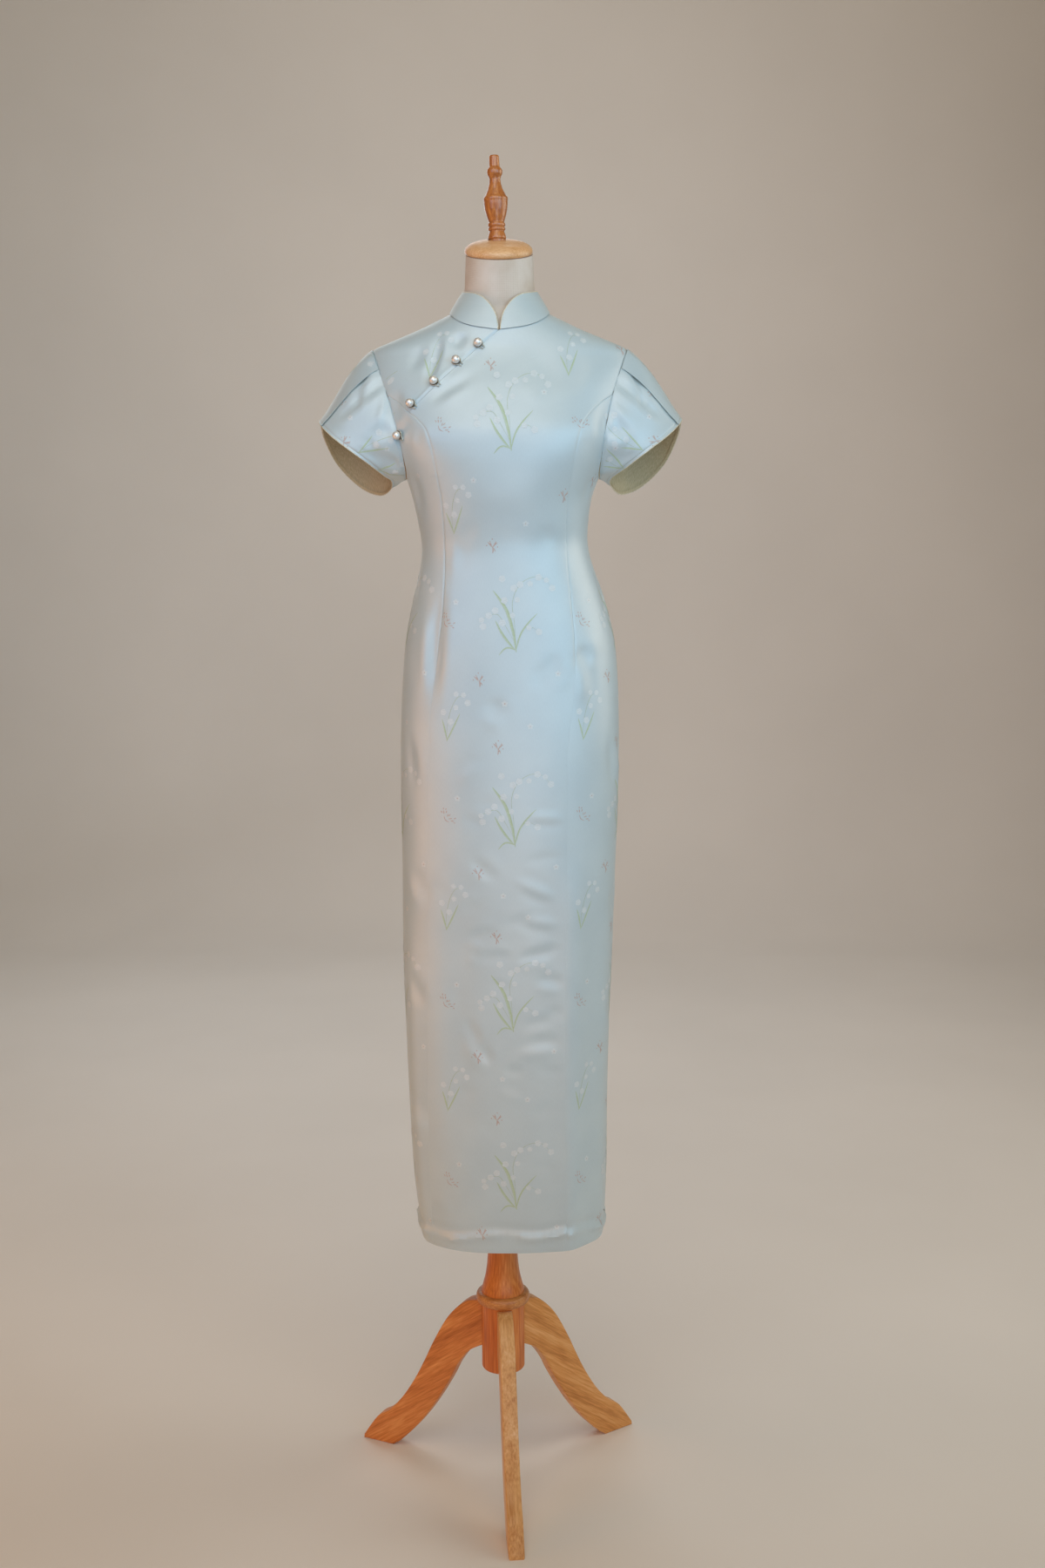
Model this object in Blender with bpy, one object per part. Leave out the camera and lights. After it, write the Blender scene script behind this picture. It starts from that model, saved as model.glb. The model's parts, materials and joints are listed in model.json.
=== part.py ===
"""A floor-length cheongsam with petal sleeves, worn by a limbless dress form on a wooden tripod.

Sizes are in millimetres until MM turns them into metres. X runs to the wearer's left, Y to the back
and Z up. Every cloth piece is a wall on one shared garment surface, given by a table of sections.
"""

import math
from collections import namedtuple

import bmesh
import bpy
from mathutils import Vector

MM = 0.001

# ---------------------------------------------------------------- driving sizes

CLOTH = 1.6  # wall of the dress panels
PETAL = 1.4  # wall of the sleeve petals
COLLAR_WALL = 2.0
SEAM = 0.3  # gap between two sewn pieces
HEM = 386  # height of the hem above the floor
UNDERARM = 1527
CORNER = 1615  # height where the placket meets the princess seam
JUNCTION = 1640  # height where a princess seam runs into the armhole
PETAL_LAP = 1676  # height on the armhole where a lapped petal ends
SHOULDER_TIP = 1705
NECK_POINT = 1755  # where the shoulder seam meets the collar
FORM_BASE = 1020  # underside of the dress form's torso

PEARL = 12  # diameter of a pearl button
LOOP_CORD = 2  # thickness of a button loop

LEG_BOARD = 23  # thickness of a leg
LEG_TURN = 4.8  # degrees that the front leg is turned to the wearer's left
HUB_RADIUS = 33

# ---------------------------------------------------------------- tables

# One row for each cross-section of the dress: its height, the place of its middle, its half width,
# how far it reaches to the front and to the back, and how square it is (2 is an ellipse).
Section = namedtuple("Section", "height middle_x middle_y half front back square")
SECTIONS = (
    Section(386, 15, 26, 138, 98, 98, 2.5),
    Section(430, 14, 24, 142, 100, 100, 2.5),
    Section(500, 12, 22, 146, 102, 102, 2.5),
    Section(620, 10, 18, 149, 104, 106, 2.5),
    Section(740, 10, 14, 152, 106, 110, 2.5),
    Section(850, 11, 10, 155, 107, 113, 2.4),
    Section(950, 13, 6, 156, 109, 116, 2.4),
    Section(1060, 15, 2, 158, 110, 120, 2.3),
    Section(1160, 16, 0, 158, 109, 124, 2.3),
    Section(1240, 17, 0, 155, 107, 118, 2.2),
    Section(1300, 17, 0, 149, 104, 105, 2.2),
    Section(1360, 15, 0, 135, 98, 90, 2.2),
    Section(1410, 12, 0, 121, 94, 81, 2.2),
    Section(1436, 10, 0, 118, 95, 80, 2.2),
    Section(1467, 8, 0, 121, 103, 86, 2.3),
    Section(1500, 7, 0, 127, 113, 94, 2.3),
    Section(1530, 8, 0, 137, 119, 100, 2.4),
    Section(1560, 8, 0, 151, 123, 104, 2.4),
    Section(1590, 7, 0, 163, 122, 105, 2.4),
    Section(1620, 6, 0, 174, 113, 104, 2.3),
    Section(1650, 5, 0, 184, 101, 99, 2.2),
    Section(1675, 5, 0, 189, 88, 90, 2.1),
    Section(1692, 5, 0, 187, 80, 82, 2.0),
    Section(1705, 5, 0, 179, 75, 77, 2.0),
    Section(1718, 5, 0, 150, 72, 73, 2.0),
    Section(1731, 5, 0, 118, 69, 70, 2.0),
    Section(1744, 5, 0, 90, 65, 67, 2.0),
    Section(1755, 5, 0, 68, 60, 65, 2.0),
    Section(1764, 5, 0, 59, 55, 62, 2.0),
)

# The armhole seam, as a distance from the middle of the section at each height.
Armhole = namedtuple("Armhole", "height reach")
ARMHOLE = (
    Armhole(1527, 135.7),
    Armhole(1535, 134.5),
    Armhole(1550, 136),
    Armhole(1570, 139),
    Armhole(1590, 143),
    Armhole(1615, 149.5),
    Armhole(1640, 156),
    Armhole(1658, 162),
    Armhole(1676, 168.5),
    Armhole(1692, 174),
    Armhole(1705, 179),
)

# The two princess seams, as distances from the middle, on the wearer's right and left.
Princess = namedtuple("Princess", "height right left")
PRINCESS = (
    Princess(386, 118, 81),
    Princess(700, 117, 83),
    Princess(1060, 115, 82),
    Princess(1148, 113, 82),
    Princess(1220, 110, 89),
    Princess(1290, 103, 91),
    Princess(1350, 92, 88),
    Princess(1417, 84, 86),
    Princess(1490, 82, 90),
    Princess(1530, 88, 94),
    Princess(1562, 93, 99),
    Princess(1590, 101, 107),
    Princess(1602, 110, 113),
    Princess(1615, 125, 124),
    Princess(1629, 140, 140),
    Princess(1640, 156, 156),
)

# The placket edge, from the princess seam up to the collar, in the front view.
Placket = namedtuple("Placket", "x height")
PLACKET = (
    Placket(-119, 1615),
    Placket(-83, 1650),
    Placket(-52, 1678),
    Placket(-25, 1702),
    Placket(-7, 1717),
    Placket(5, 1727),
)

# The neckline, by its turn around the neck from the front (0) to the nape (180).
Neckline = namedtuple("Neckline", "turn height")
NECK_HALF = 68
NECKLINE = (
    Neckline(0, 1727),
    Neckline(30, 1732),
    Neckline(50, 1738),
    Neckline(70, 1747),
    Neckline(90, 1755),
    Neckline(110, 1758),
    Neckline(130, 1761),
    Neckline(150, 1763),
    Neckline(180, 1764),
)

# The full upper ring of the collar, and the share of that height which its edge reaches.
CollarTop = namedtuple("CollarTop", "turn height half depth")
COLLAR_TOP = (
    CollarTop(0, 1773, 51.2, 55),
    CollarTop(90, 1786, 51.2, 54),
    CollarTop(180, 1796, 51.2, 54),
)
CollarEdge = namedtuple("CollarEdge", "turn share")
COLLAR_EDGE = (
    CollarEdge(1.5, 0.12),
    CollarEdge(4, 0.40),
    CollarEdge(8, 0.58),
    CollarEdge(14, 0.75),
    CollarEdge(24, 0.90),
    CollarEdge(36, 0.98),
    CollarEdge(50, 1.0),
    CollarEdge(180, 1.0),
)
COLLAR_TURNS = (1.5, 4, 8, 14, 24, 36, 50, 65, 80, 95, 110, 125, 140, 155, 168)
COLLAR_FLARE = 0.35  # how much the collar's wall faces up as well as out

# The sleeve hem, by its turn from the outermost point (0) over the front to the underarm (180)
# and back up behind: its distance from the middle of the dress, its depth and its height.
SleeveHem = namedtuple("SleeveHem", "turn out depth height")
SLEEVE_HEM = (
    SleeveHem(0, 256, 0, 1608),
    SleeveHem(30, 252, -32, 1600),
    SleeveHem(60, 234, -56, 1583),
    SleeveHem(90, 207, -66, 1563),
    SleeveHem(120, 183, -56, 1546),
    SleeveHem(150, 165, -32, 1533),
    SleeveHem(180, 157, 3, 1525),
    SleeveHem(210, 163, 34, 1513),
    SleeveHem(240, 179, 58, 1505),
    SleeveHem(270, 208, 72, 1516),
    SleeveHem(300, 238, 64, 1546),
    SleeveHem(330, 254, 38, 1582),
    SleeveHem(360, 256, 0, 1608),
)
SLEEVE_CAP = 6  # how far the sleeve head stands proud of a straight line
SLEEVE_MIDDLE = (190, 0, 1620)  # a point inside the wearer's left sleeve, beside the armhole
TUCK_START = 110  # turn round the sleeve past which its head lies over the body's seam
TUCK_RUN = 40  # turn over which it gets there

# The main folds and swells: where each lies around the section (degrees from the front), where it
# starts and ends, its half width in degrees and how far it stands out (or, below 0, in).
Fold = namedtuple("Fold", "name turn low high spread rise")
FOLDS = (
    Fold("cup, wearer's right", -37, 1480, 1650, 24, 6),
    Fold("cup, wearer's left", 37, 1480, 1650, 24, 6),
    Fold("ridge down the left princess seam", 33, 300, 1010, 9, 7),
    Fold("trough beside that ridge", 54, 300, 980, 12, -5),
    Fold("soft ridge beside the right princess seam", -62, 330, 900, 10, 4),
    Fold("trough across the front", -22, 520, 980, 12, -3),
    Fold("groove at the right hip", -43, 1175, 1370, 6, -4),
    Fold("dimple at the left hip", 37, 1230, 1340, 7, -3),
    Fold("trough at the centre back", 180, 300, 960, 16, -6),
    Fold("ridge behind, wearer's left", 143, 300, 1000, 11, 5),
    Fold("ridge behind, wearer's right", 218, 300, 1000, 11, 5),
)
FOLD_FADE = 120  # height over which a fold dies out

# Heights of the rows of every panel, up to the placket's corner and on up to the shoulder tip.
LOWER_ROWS = (
    *(386, 430, 500, 570, 640, 710, 780, 850, 920, 990, 1060, 1120, 1170, 1215, 1255, 1290),
    *(1320, 1350, 1380, 1408, 1436, 1462, 1486, 1508, 1527, 1535, 1550, 1570, 1590, 1615),
)
ARMHOLE_ROWS = (1527, 1535, 1550, 1570, 1590, 1615, 1629, 1640, 1658, 1676, 1692, 1705)
SHOULDER_ROWS = (1718, 1731, 1744, 1755)

# The neck of the dress form above the collar seam: its cuts lean forward towards the cap.
NECK_MIDDLE = 5
NeckCut = namedtuple("NeckCut", "height half depth lean")
NECK_CUTS = (
    NeckCut(1785, 50.2, 51.5, 8),
    NeckCut(1812, 48.5, 49.5, 13),
    NeckCut(1838, 47.5, 48.5, 17),
)

# How far the form stays inside the garment surface, and where each part of that sets in.
FORM_CLEARANCE = 2.0  # where the cloth rests on the shoulders
FORM_DRAW_IN = 1.2  # more below the shoulders, from 1700 down to 1580
COLLAR_DRAW_IN = 1.0  # more under the collar seam, from 1712 up to 1732
ARM_PLATE_INSET = 11  # more at the flat arm plates inside the sleeves, from 1500 up to 1712

# Turned pieces, as radius and height up their own axis.
Turned = namedtuple("Turned", "radius height")
FINIAL_PLACE = (2, -1, 1858)
FINIAL_TIP = -1.8  # degrees that it leans to the wearer's right
BORE_RADIUS = 11.5
BORE_DEPTH = 6.3
FINIAL = (
    *(Turned(0, -6), Turned(11.2, -6), Turned(11.2, 0.4), Turned(10.8, 5)),
    *(Turned(9.4, 10), Turned(8.8, 11.5), Turned(9.6, 13), Turned(9.6, 15.5), Turned(8.7, 17)),
    *(Turned(9.7, 18.5), Turned(9.7, 21.5), Turned(9, 23.5), Turned(11.4, 31), Turned(13.2, 40)),
    *(Turned(13.6, 48), Turned(13.6, 52), Turned(14.2, 53.5), Turned(14.2, 56.5)),
    *(Turned(12.2, 60), Turned(9.2, 68), Turned(7.4, 76), Turned(6.8, 82), Turned(7.4, 85)),
    *(Turned(8.9, 89), Turned(8.9, 94), Turned(7, 98), Turned(6.4, 98.6), Turned(6, 112)),
    *(Turned(5.2, 114), Turned(0, 114.5)),
)
CAP_PLACE = (4, -1, 1838)
CAP_LEAN = 17
CAP = (
    *(Turned(0, 0), Turned(45.5, 0), Turned(47, 1), Turned(48, 4), Turned(47.6, 7)),
    *(Turned(44, 11.5), Turned(36, 15.5), Turned(24, 18.3), Turned(12, 19.6), Turned(0, 20)),
)
RING_HEIGHT = 278
RING = (
    *(Turned(0, 0), Turned(36, 0), Turned(39.5, 2), Turned(41, 6), Turned(41, 11)),
    *(Turned(39.5, 15), Turned(36.5, 17), Turned(0, 17)),
)
COLUMN_HEIGHT = 295.3
COLUMN = (
    *(Turned(0, 0), Turned(33, 0), Turned(32.2, 5), Turned(29, 16), Turned(26.2, 28)),
    *(Turned(24, 44), Turned(22.7, 62), Turned(22, 90), Turned(22, 400), Turned(22, 724.4)),
    Turned(0, 724.4),
)
HUB_HEIGHT = 172
HUB = (Turned(0, 0), Turned(31.5, 0), Turned(33, 2), Turned(33, 105.7), Turned(0, 105.7))

# Outline of a leg board: distance from the column's axis and height, up the outer edge first.
LegPoint = namedtuple("LegPoint", "out height")
LEG = (
    *(LegPoint(193, 0), LegPoint(247, 0), LegPoint(246, 6), LegPoint(221, 42), LegPoint(199, 58)),
    *(LegPoint(175, 85), LegPoint(152, 121), LegPoint(134, 156), LegPoint(118, 190)),
    *(LegPoint(98, 227), LegPoint(81, 250), LegPoint(60, 269), LegPoint(43, 275)),
    *(LegPoint(28, 275), LegPoint(28, 204), LegPoint(42, 197), LegPoint(57, 186)),
    *(LegPoint(75, 161), LegPoint(88, 135), LegPoint(108, 100), LegPoint(131, 65)),
    *(LegPoint(155, 35), LegPoint(180, 9)),
)

# A button loop is a teardrop of cord: its round end, its tail and the gap between its two ends.
LOOP_RADIUS = 5.9
LOOP_TAIL = 10.5
LOOP_GAP = 3.0
LOOP_MOUTH = 32  # half of the angle, in degrees, that the round end leaves open
LOOP_LIFT = 0.35  # the cord's clearance over the cloth, besides the seam gap

# Pearl buttons down the placket, by their place in the front view.
Button = namedtuple("Button", "x height")
BUTTONS = (
    Button(-24, 1708),
    Button(-54, 1683),
    Button(-84, 1655),
    Button(-115, 1626),
    Button(-131, 1586),
)

# ---------------------------------------------------------------- finishes

Finish = namedtuple("Finish", "colour rough metal")
SATIN = Finish((0.62, 0.72, 0.75), 0.45, 0.0)
LINEN = Finish((0.72, 0.68, 0.66), 0.9, 0.0)
BEECH = Finish((0.75, 0.52, 0.28), 0.45, 0.0)
TEAK = Finish((0.55, 0.29, 0.12), 0.35, 0.0)
PINE = Finish((0.70, 0.42, 0.20), 0.5, 0.0)
PEARL_COAT = Finish((0.86, 0.83, 0.80), 0.2, 0.0)

# ---------------------------------------------------------------- garment surface


def ease(share):
    """A smooth step from 0 to 1."""
    share = min(1.0, max(0.0, share))
    return share * share * (3 - 2 * share)


def along(table, key, column, at):
    """A smooth curve through one column of a table, read at a value of its key column."""
    keys = [getattr(row, key) for row in table]
    values = [getattr(row, column) for row in table]
    at = min(keys[-1], max(keys[0], at))
    k = max(i for i in range(len(keys) - 1) if keys[i] <= at)

    def slope(i):
        low, high = max(i - 1, 0), min(i + 1, len(keys) - 1)
        return (values[high] - values[low]) / (keys[high] - keys[low])

    width = keys[k + 1] - keys[k]
    t = (at - keys[k]) / width
    return (
        (2 * t**3 - 3 * t**2 + 1) * values[k]
        + (t**3 - 2 * t**2 + t) * width * slope(k)
        + (3 * t**2 - 2 * t**3) * values[k + 1]
        + (t**3 - t**2) * width * slope(k + 1)
    )


def section(height):
    """The cross-section at this height."""
    return Section(height, *(along(SECTIONS, "height", name, height) for name in Section._fields[1:]))


def fold_rise(turn, height):
    """How far the folds push the surface out here."""
    rise = 0.0
    for fold in FOLDS:
        away = (turn - fold.turn + 180) % 360 - 180
        inside = ease((height - fold.low) / FOLD_FADE) * ease((fold.high - height) / FOLD_FADE)
        rise += fold.rise * inside * math.exp(-((away / fold.spread) ** 2))
    return rise


def surface(turn, height):
    """The garment surface: turn is 0 at the front, 90 at the wearer's left side, 180 behind."""
    cut = section(height)
    sine, cosine = math.sin(math.radians(turn)), math.cos(math.radians(turn))
    power = 2 / cut.square
    reach = cut.front if cosine > 0 else cut.back
    across = math.copysign(abs(sine) ** power, sine)
    ahead = math.copysign(abs(cosine) ** power, cosine)
    outward = Vector((across / cut.half, -ahead / reach, 0)).normalized()
    place = Vector((cut.middle_x + cut.half * across, cut.middle_y - reach * ahead, height))
    return place + outward * fold_rise(turn, height)


def normal(turn, height):
    """The outward normal of the garment surface."""
    around = surface(turn + 0.5, height) - surface(turn - 0.5, height)
    upward = surface(turn, min(height + 1, 1764)) - surface(turn, height - 1)
    return around.cross(upward).normalized()


def turn_at(reach, height, behind=False):
    """The turn where the surface at this height is this far (signed) from its middle."""
    cut = section(height)
    share = min(1.0, abs(reach) / cut.half)
    turn = math.degrees(math.asin(share ** (cut.square / 2)))
    turn = math.copysign(turn, reach)
    return 180 - turn if behind else turn


def turn_at_x(x, height):
    return turn_at(x - section(height).middle_x, height)


def armhole_turn(height, side, behind=False):
    """side is 1 on the wearer's left and -1 on the right."""
    if height in (UNDERARM, SHOULDER_TIP):
        return 180 - side * 90 if behind else side * 90
    return turn_at(side * along(ARMHOLE, "height", "reach", height), height, behind)


def princess_turn(height, side):
    column = "left" if side > 0 else "right"
    return turn_at(side * along(PRINCESS, "height", column, height), height)


def edge_turn(height, side, behind=False):
    """The outer edge of the body at this height: side seam, armhole or shoulder seam."""
    if UNDERARM < height < SHOULDER_TIP:
        return armhole_turn(height, side, behind)
    return 180 - side * 90 if behind else side * 90


def neck_place(turn):
    """Turn and height on the garment surface of a point of the neckline."""
    around = turn % 360
    height = along(NECKLINE, "turn", "height", min(around, 360 - around))
    if around in (90, 270):
        return (90 if around == 90 else -90), height
    reach = NECK_HALF * math.sin(math.radians(turn))
    return turn_at(reach, height, behind=90 < around < 270), height


# ---------------------------------------------------------------- walls


class Grid:
    """Rows of points on a cloth piece, each with the direction in which its wall gets its thickness."""

    def __init__(self):
        self.points = []
        self.normals = []

    def add(self, places):
        """Adds a row from turns and heights on the garment surface."""
        self.points.append([surface(turn, height) for turn, height in places])
        self.normals.append([normal(turn, height) for turn, height in places])

    def taper(self, index, share):
        """Pulls an end row, shrunk to a point, back so that it keeps a short edge."""
        beside = 1 if index == 0 else index - 1
        for rows in (self.points, self.normals):
            rows[index] = [a.lerp(b, share) for a, b in zip(rows[beside], rows[index])]

    def trim(self, left=0.0, right=0.0, top=0.0, bottom=0.0):
        """Draws each edge in by its own distance, measured square to that edge."""
        rows, columns = len(self.points), len(self.points[0])
        moves = []
        for distance, edge in (
            (left, [(r, 0, r, 1) for r in range(rows)]),
            (right, [(r, columns - 1, r, columns - 2) for r in range(rows)]),
            (bottom, [(0, c, 1, c) for c in range(columns)]),
            (top, [(rows - 1, c, rows - 2, c) for c in range(columns)]),
        ):
            line = [self.points[r][c] for r, c, _, _ in edge]
            for k, (r, c, inner_r, inner_c) in enumerate(edge):
                tangent = (line[min(k + 1, len(line) - 1)] - line[max(k - 1, 0)]).normalized()
                inward = (self.points[inner_r][inner_c] - self.points[r][c]).normalized()
                square = (inward - tangent * inward.dot(tangent)).length
                moves.append((r, c, inward * distance / max(square, 0.25)))
        for r, c, move in moves:
            self.points[r][c] = self.points[r][c] + move


def span(start, end, columns):
    """Places in a row from start to end, each a (turn, height) pair."""
    shares = [c / (columns - 1) for c in range(columns)]
    return [tuple(a + (b - a) * share for a, b in zip(start, end)) for share in shares]


def new_object(name, mesh_tool, finish):
    """Makes an object of a bmesh in millimetres, with its own material."""
    bmesh.ops.scale(mesh_tool, vec=(MM, MM, MM), verts=mesh_tool.verts)
    bmesh.ops.recalc_face_normals(mesh_tool, faces=mesh_tool.faces)
    mesh = bpy.data.meshes.new(name)
    mesh_tool.to_mesh(mesh)
    mesh_tool.free()
    mesh.shade_smooth()
    mesh.set_sharp_from_angle(angle=math.radians(40))
    material = bpy.data.materials.new(name)
    material.use_nodes = True
    shader = material.node_tree.nodes["Principled BSDF"]
    shader.inputs["Base Color"].default_value = (*finish.colour, 1)
    shader.inputs["Roughness"].default_value = finish.rough
    shader.inputs["Metallic"].default_value = finish.metal
    mesh.materials.append(material)
    made = bpy.data.objects.new(name, mesh)
    bpy.context.scene.collection.objects.link(made)
    return made


def wall(name, grid, thickness, finish=SATIN):
    """A closed wall over a grid: its inner face, its outer face and the rim between them."""
    tool = bmesh.new()
    inner = [[tool.verts.new(point) for point in row] for row in grid.points]
    outer = [
        [tool.verts.new(point + out * thickness) for point, out in zip(row, outs)]
        for row, outs in zip(grid.points, grid.normals)
    ]
    rows, columns = len(inner), len(inner[0])
    for r in range(rows - 1):
        for c in range(columns - 1):
            for layer in (inner, outer):
                tool.faces.new((layer[r][c], layer[r][c + 1], layer[r + 1][c + 1], layer[r + 1][c]))
    rim = [(0, c) for c in range(columns)] + [(r, columns - 1) for r in range(1, rows)]
    rim += [(rows - 1, c) for c in range(columns - 2, -1, -1)] + [(r, 0) for r in range(rows - 2, 0, -1)]
    for (r, c), (next_r, next_c) in zip(rim, rim[1:] + rim[:1]):
        tool.faces.new((inner[r][c], inner[next_r][next_c], outer[next_r][next_c], outer[r][c]))
    return new_object(name, tool, finish)


def rings_solid(name, rings, finish):
    """A closed solid through rings of points; a ring of one point is a pole."""
    tool = bmesh.new()
    loops = [[tool.verts.new(point) for point in ring] for ring in rings]
    for low, high in zip(loops, loops[1:]):
        count = max(len(low), len(high))
        for k in range(count):
            after = (k + 1) % count
            if len(low) == 1:
                tool.faces.new((low[0], high[after], high[k]))
            elif len(high) == 1:
                tool.faces.new((low[k], low[after], high[0]))
            else:
                tool.faces.new((low[k], low[after], high[after], high[k]))
    for end in (loops[0], loops[-1]):
        if len(end) > 1:
            tool.faces.new(end)
    return new_object(name, tool, finish)


# ---------------------------------------------------------------- dress panels


def placket_place(share):
    """A place on the placket edge, from its corner (0) to the collar (1)."""
    height = PLACKET[0].height + share * (PLACKET[-1].height - PLACKET[0].height)
    return turn_at_x(along(PLACKET, "height", "x", height), height), height


def upper_edge_places(side):
    """Places up the outer edge of an upper front, from the corner height to the neck point."""
    places = [(princess_turn(h, side), h) for h in ARMHOLE_ROWS if CORNER <= h < JUNCTION]
    places += [(armhole_turn(h, side), h) for h in ARMHOLE_ROWS if h >= JUNCTION]
    return places + [(side * 90, h) for h in SHOULDER_ROWS]


def neckline_row(start, end, columns):
    return [neck_place(start + (end - start) * c / (columns - 1)) for c in range(columns)]


def front_panel():
    columns = 12
    grid = Grid()
    for height in LOWER_ROWS:
        right, left = princess_turn(height, -1), princess_turn(height, 1)
        if height == CORNER:
            right = placket_place(0)[0]
        grid.add(span((right, height), (left, height), columns))
    outer = upper_edge_places(1)
    for k, place in enumerate(outer[1:-1], 1):
        grid.add(span(placket_place(k / (len(outer) - 1)), place, columns))
    grid.add(neckline_row(0, 90, columns))
    grid.trim(left=SEAM / 2, right=SEAM / 2, top=SEAM / 2)
    return wall("front_panel", grid, CLOTH)


def front_yoke_right():
    columns = 7
    grid = Grid()
    outer = upper_edge_places(-1)
    outer[0] = placket_place(0)
    for k, place in enumerate(outer[:-1]):
        grid.add(span(place, placket_place(k / (len(outer) - 1)), columns))
    grid.add(neckline_row(-90, 0, columns))
    grid.taper(0, 0.8)
    grid.trim(left=SEAM / 2, right=SEAM / 2, top=SEAM / 2)
    return wall("front_yoke_right", grid, CLOTH)


def side_front(name, side):
    columns = 6
    grid = Grid()
    for height in LOWER_ROWS + (1629, JUNCTION):
        seam = (princess_turn(height, side), height)
        if side < 0 and height == CORNER:
            seam = placket_place(0)
        grid.add(span(seam, (edge_turn(height, side), height), columns))
    grid.taper(len(grid.points) - 1, 0.8)
    grid.trim(left=SEAM / 2, right=SEAM / 2)
    return wall(name, grid, CLOTH)


def back(name, side):
    """Half of the back, from its side seam, armhole and shoulder seam to the centre seam."""
    columns = 10
    grid = Grid()
    for height in LOWER_ROWS + tuple(h for h in ARMHOLE_ROWS if h > CORNER) + SHOULDER_ROWS[:-1]:
        grid.add(span((edge_turn(height, side, True), height), (180, height), columns))
    neckline = neckline_row(180 - side * 90, 180, columns)
    grid.add([(180 - side * 90, NECK_POINT)] + neckline[1:])
    grid.trim(left=SEAM / 2, right=SEAM / 2, top=SEAM / 2)
    return wall(name, grid, CLOTH)


def collar():
    """The band stands on the outer face of the neckline and leans in towards the neck."""
    rows = 5
    turns = list(COLLAR_TURNS) + [180] + [360 - turn for turn in reversed(COLLAR_TURNS)]
    grid = Grid()
    for r in range(rows):
        points, normals = [], []
        for turn in turns:
            around = min(turn, 360 - turn)
            place = neck_place(turn if turn <= 180 else turn - 360)
            foot = surface(*place) + normal(*place) * (CLOTH + SEAM)
            top = section(NECK_POINT)
            half, depth, height = (
                along(COLLAR_TOP, "turn", name, around) for name in ("half", "depth", "height")
            )
            out = Vector((math.sin(math.radians(turn)), -math.cos(math.radians(turn)), 0))
            head = Vector((top.middle_x + half * out.x, depth * out.y, height))
            share = along(COLLAR_EDGE, "turn", "share", around) * r / (rows - 1)
            points.append(foot.lerp(head, share))
            normals.append((out + Vector((0, 0, COLLAR_FLARE))).normalized())
        grid.points.append(points)
        grid.normals.append(normals)
    return wall("collar", grid, COLLAR_WALL)


# ---------------------------------------------------------------- sleeves


def armhole_loop(side):
    """Sleeve-head points from the front underarm over the tip to the back underarm."""
    stations = [(armhole_turn(h, side), h) for h in ARMHOLE_ROWS]
    stations += [(armhole_turn(h, side, True), h) for h in reversed(ARMHOLE_ROWS[:-1])]
    points = [surface(*place) for place in stations]
    normals = [normal(*place) for place in stations]
    travel = [0.0]
    for a, b in zip(points, points[1:]):
        travel.append(travel[-1] + (b - a).length)
    turns = [180 - 360 * distance / travel[-1] for distance in travel]
    hole = Vector((side * SLEEVE_MIDDLE[0], *SLEEVE_MIDDLE[1:]))
    heads = []
    for k, (point, out) in enumerate(zip(points, normals)):
        before, after = points[max(k - 1, 0)], points[min(k + 1, len(points) - 1)]
        away = (after - before).cross(out).normalized()
        if away.dot(hole - point) < 0:
            away = -away
        over = ease((abs(turns[k]) - TUCK_START) / TUCK_RUN)
        heads.append(point + away * SEAM + out * (CLOTH + SEAM) * over)
    return heads, normals, turns


def hem_point(turn, side):
    around = turn % 360
    out, depth, height = (
        along(SLEEVE_HEM, "turn", name, around) for name in ("out", "depth", "height")
    )
    return Vector((section(SHOULDER_TIP).middle_x + side * out, depth, height))


def petal(name, side, behind):
    """One petal: from its own underarm seam over the tip to the lap on the other side."""
    rows = 7
    heads, head_normals, turns = armhole_loop(side)
    tip = ARMHOLE_ROWS.index(SHOULDER_TIP)
    lap = 2 * tip - ARMHOLE_ROWS.index(PETAL_LAP)
    order = list(range(lap + 1))
    if behind:
        order = [len(heads) - 1 - k for k in order]
    axis = (hem_point(0, side) + hem_point(180, side)) / 2
    grid = Grid()
    for r in range(rows):
        share = r / (rows - 1)
        row = []
        for k in order:
            hem = hem_point(turns[k], side)
            swell = SLEEVE_CAP * (1 + math.cos(math.radians(turns[k]))) / 2
            outward = (hem - axis).normalized()
            bulge = outward * swell * 27 / 4 * share * (1 - share) ** 2
            row.append(heads[k].lerp(hem, share) + bulge)
        grid.points.append(row)
    for r in range(rows):
        normals = []
        for c, k in enumerate(order):
            up = grid.points[min(r + 1, rows - 1)][c] - grid.points[max(r - 1, 0)][c]
            across = grid.points[r][min(c + 1, len(order) - 1)] - grid.points[r][max(c - 1, 0)]
            out = up.cross(across).normalized()
            centre = heads[0].lerp(heads[tip], 0.5).lerp(axis, r / (rows - 1))
            if out.dot(grid.points[r][c] - centre) < 0:
                out = -out
            normals.append(head_normals[k] if r == 0 else out)
        grid.normals.append(normals)
    if behind:
        lift_lap(grid, order, tip)
    grid.trim(left=SEAM / 2)
    return wall(name, grid, PETAL)


def lift_lap(grid, order, tip):
    """Raises the lapped part of a back petal over the front petal."""
    lift = PETAL + SEAM + 0.1
    for r, (points, normals) in enumerate(zip(grid.points, grid.normals)):
        for c, k in enumerate(order):
            past = k - tip
            share = 1 - ease((past - 3) / 4)
            points[c] = points[c] + normals[c] * lift * share


# ---------------------------------------------------------------- buttons


def front_place(button):
    """Turn and height on the surface of a button, from its place in the front view."""
    return turn_at_x(button.x, button.height), button.height


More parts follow.
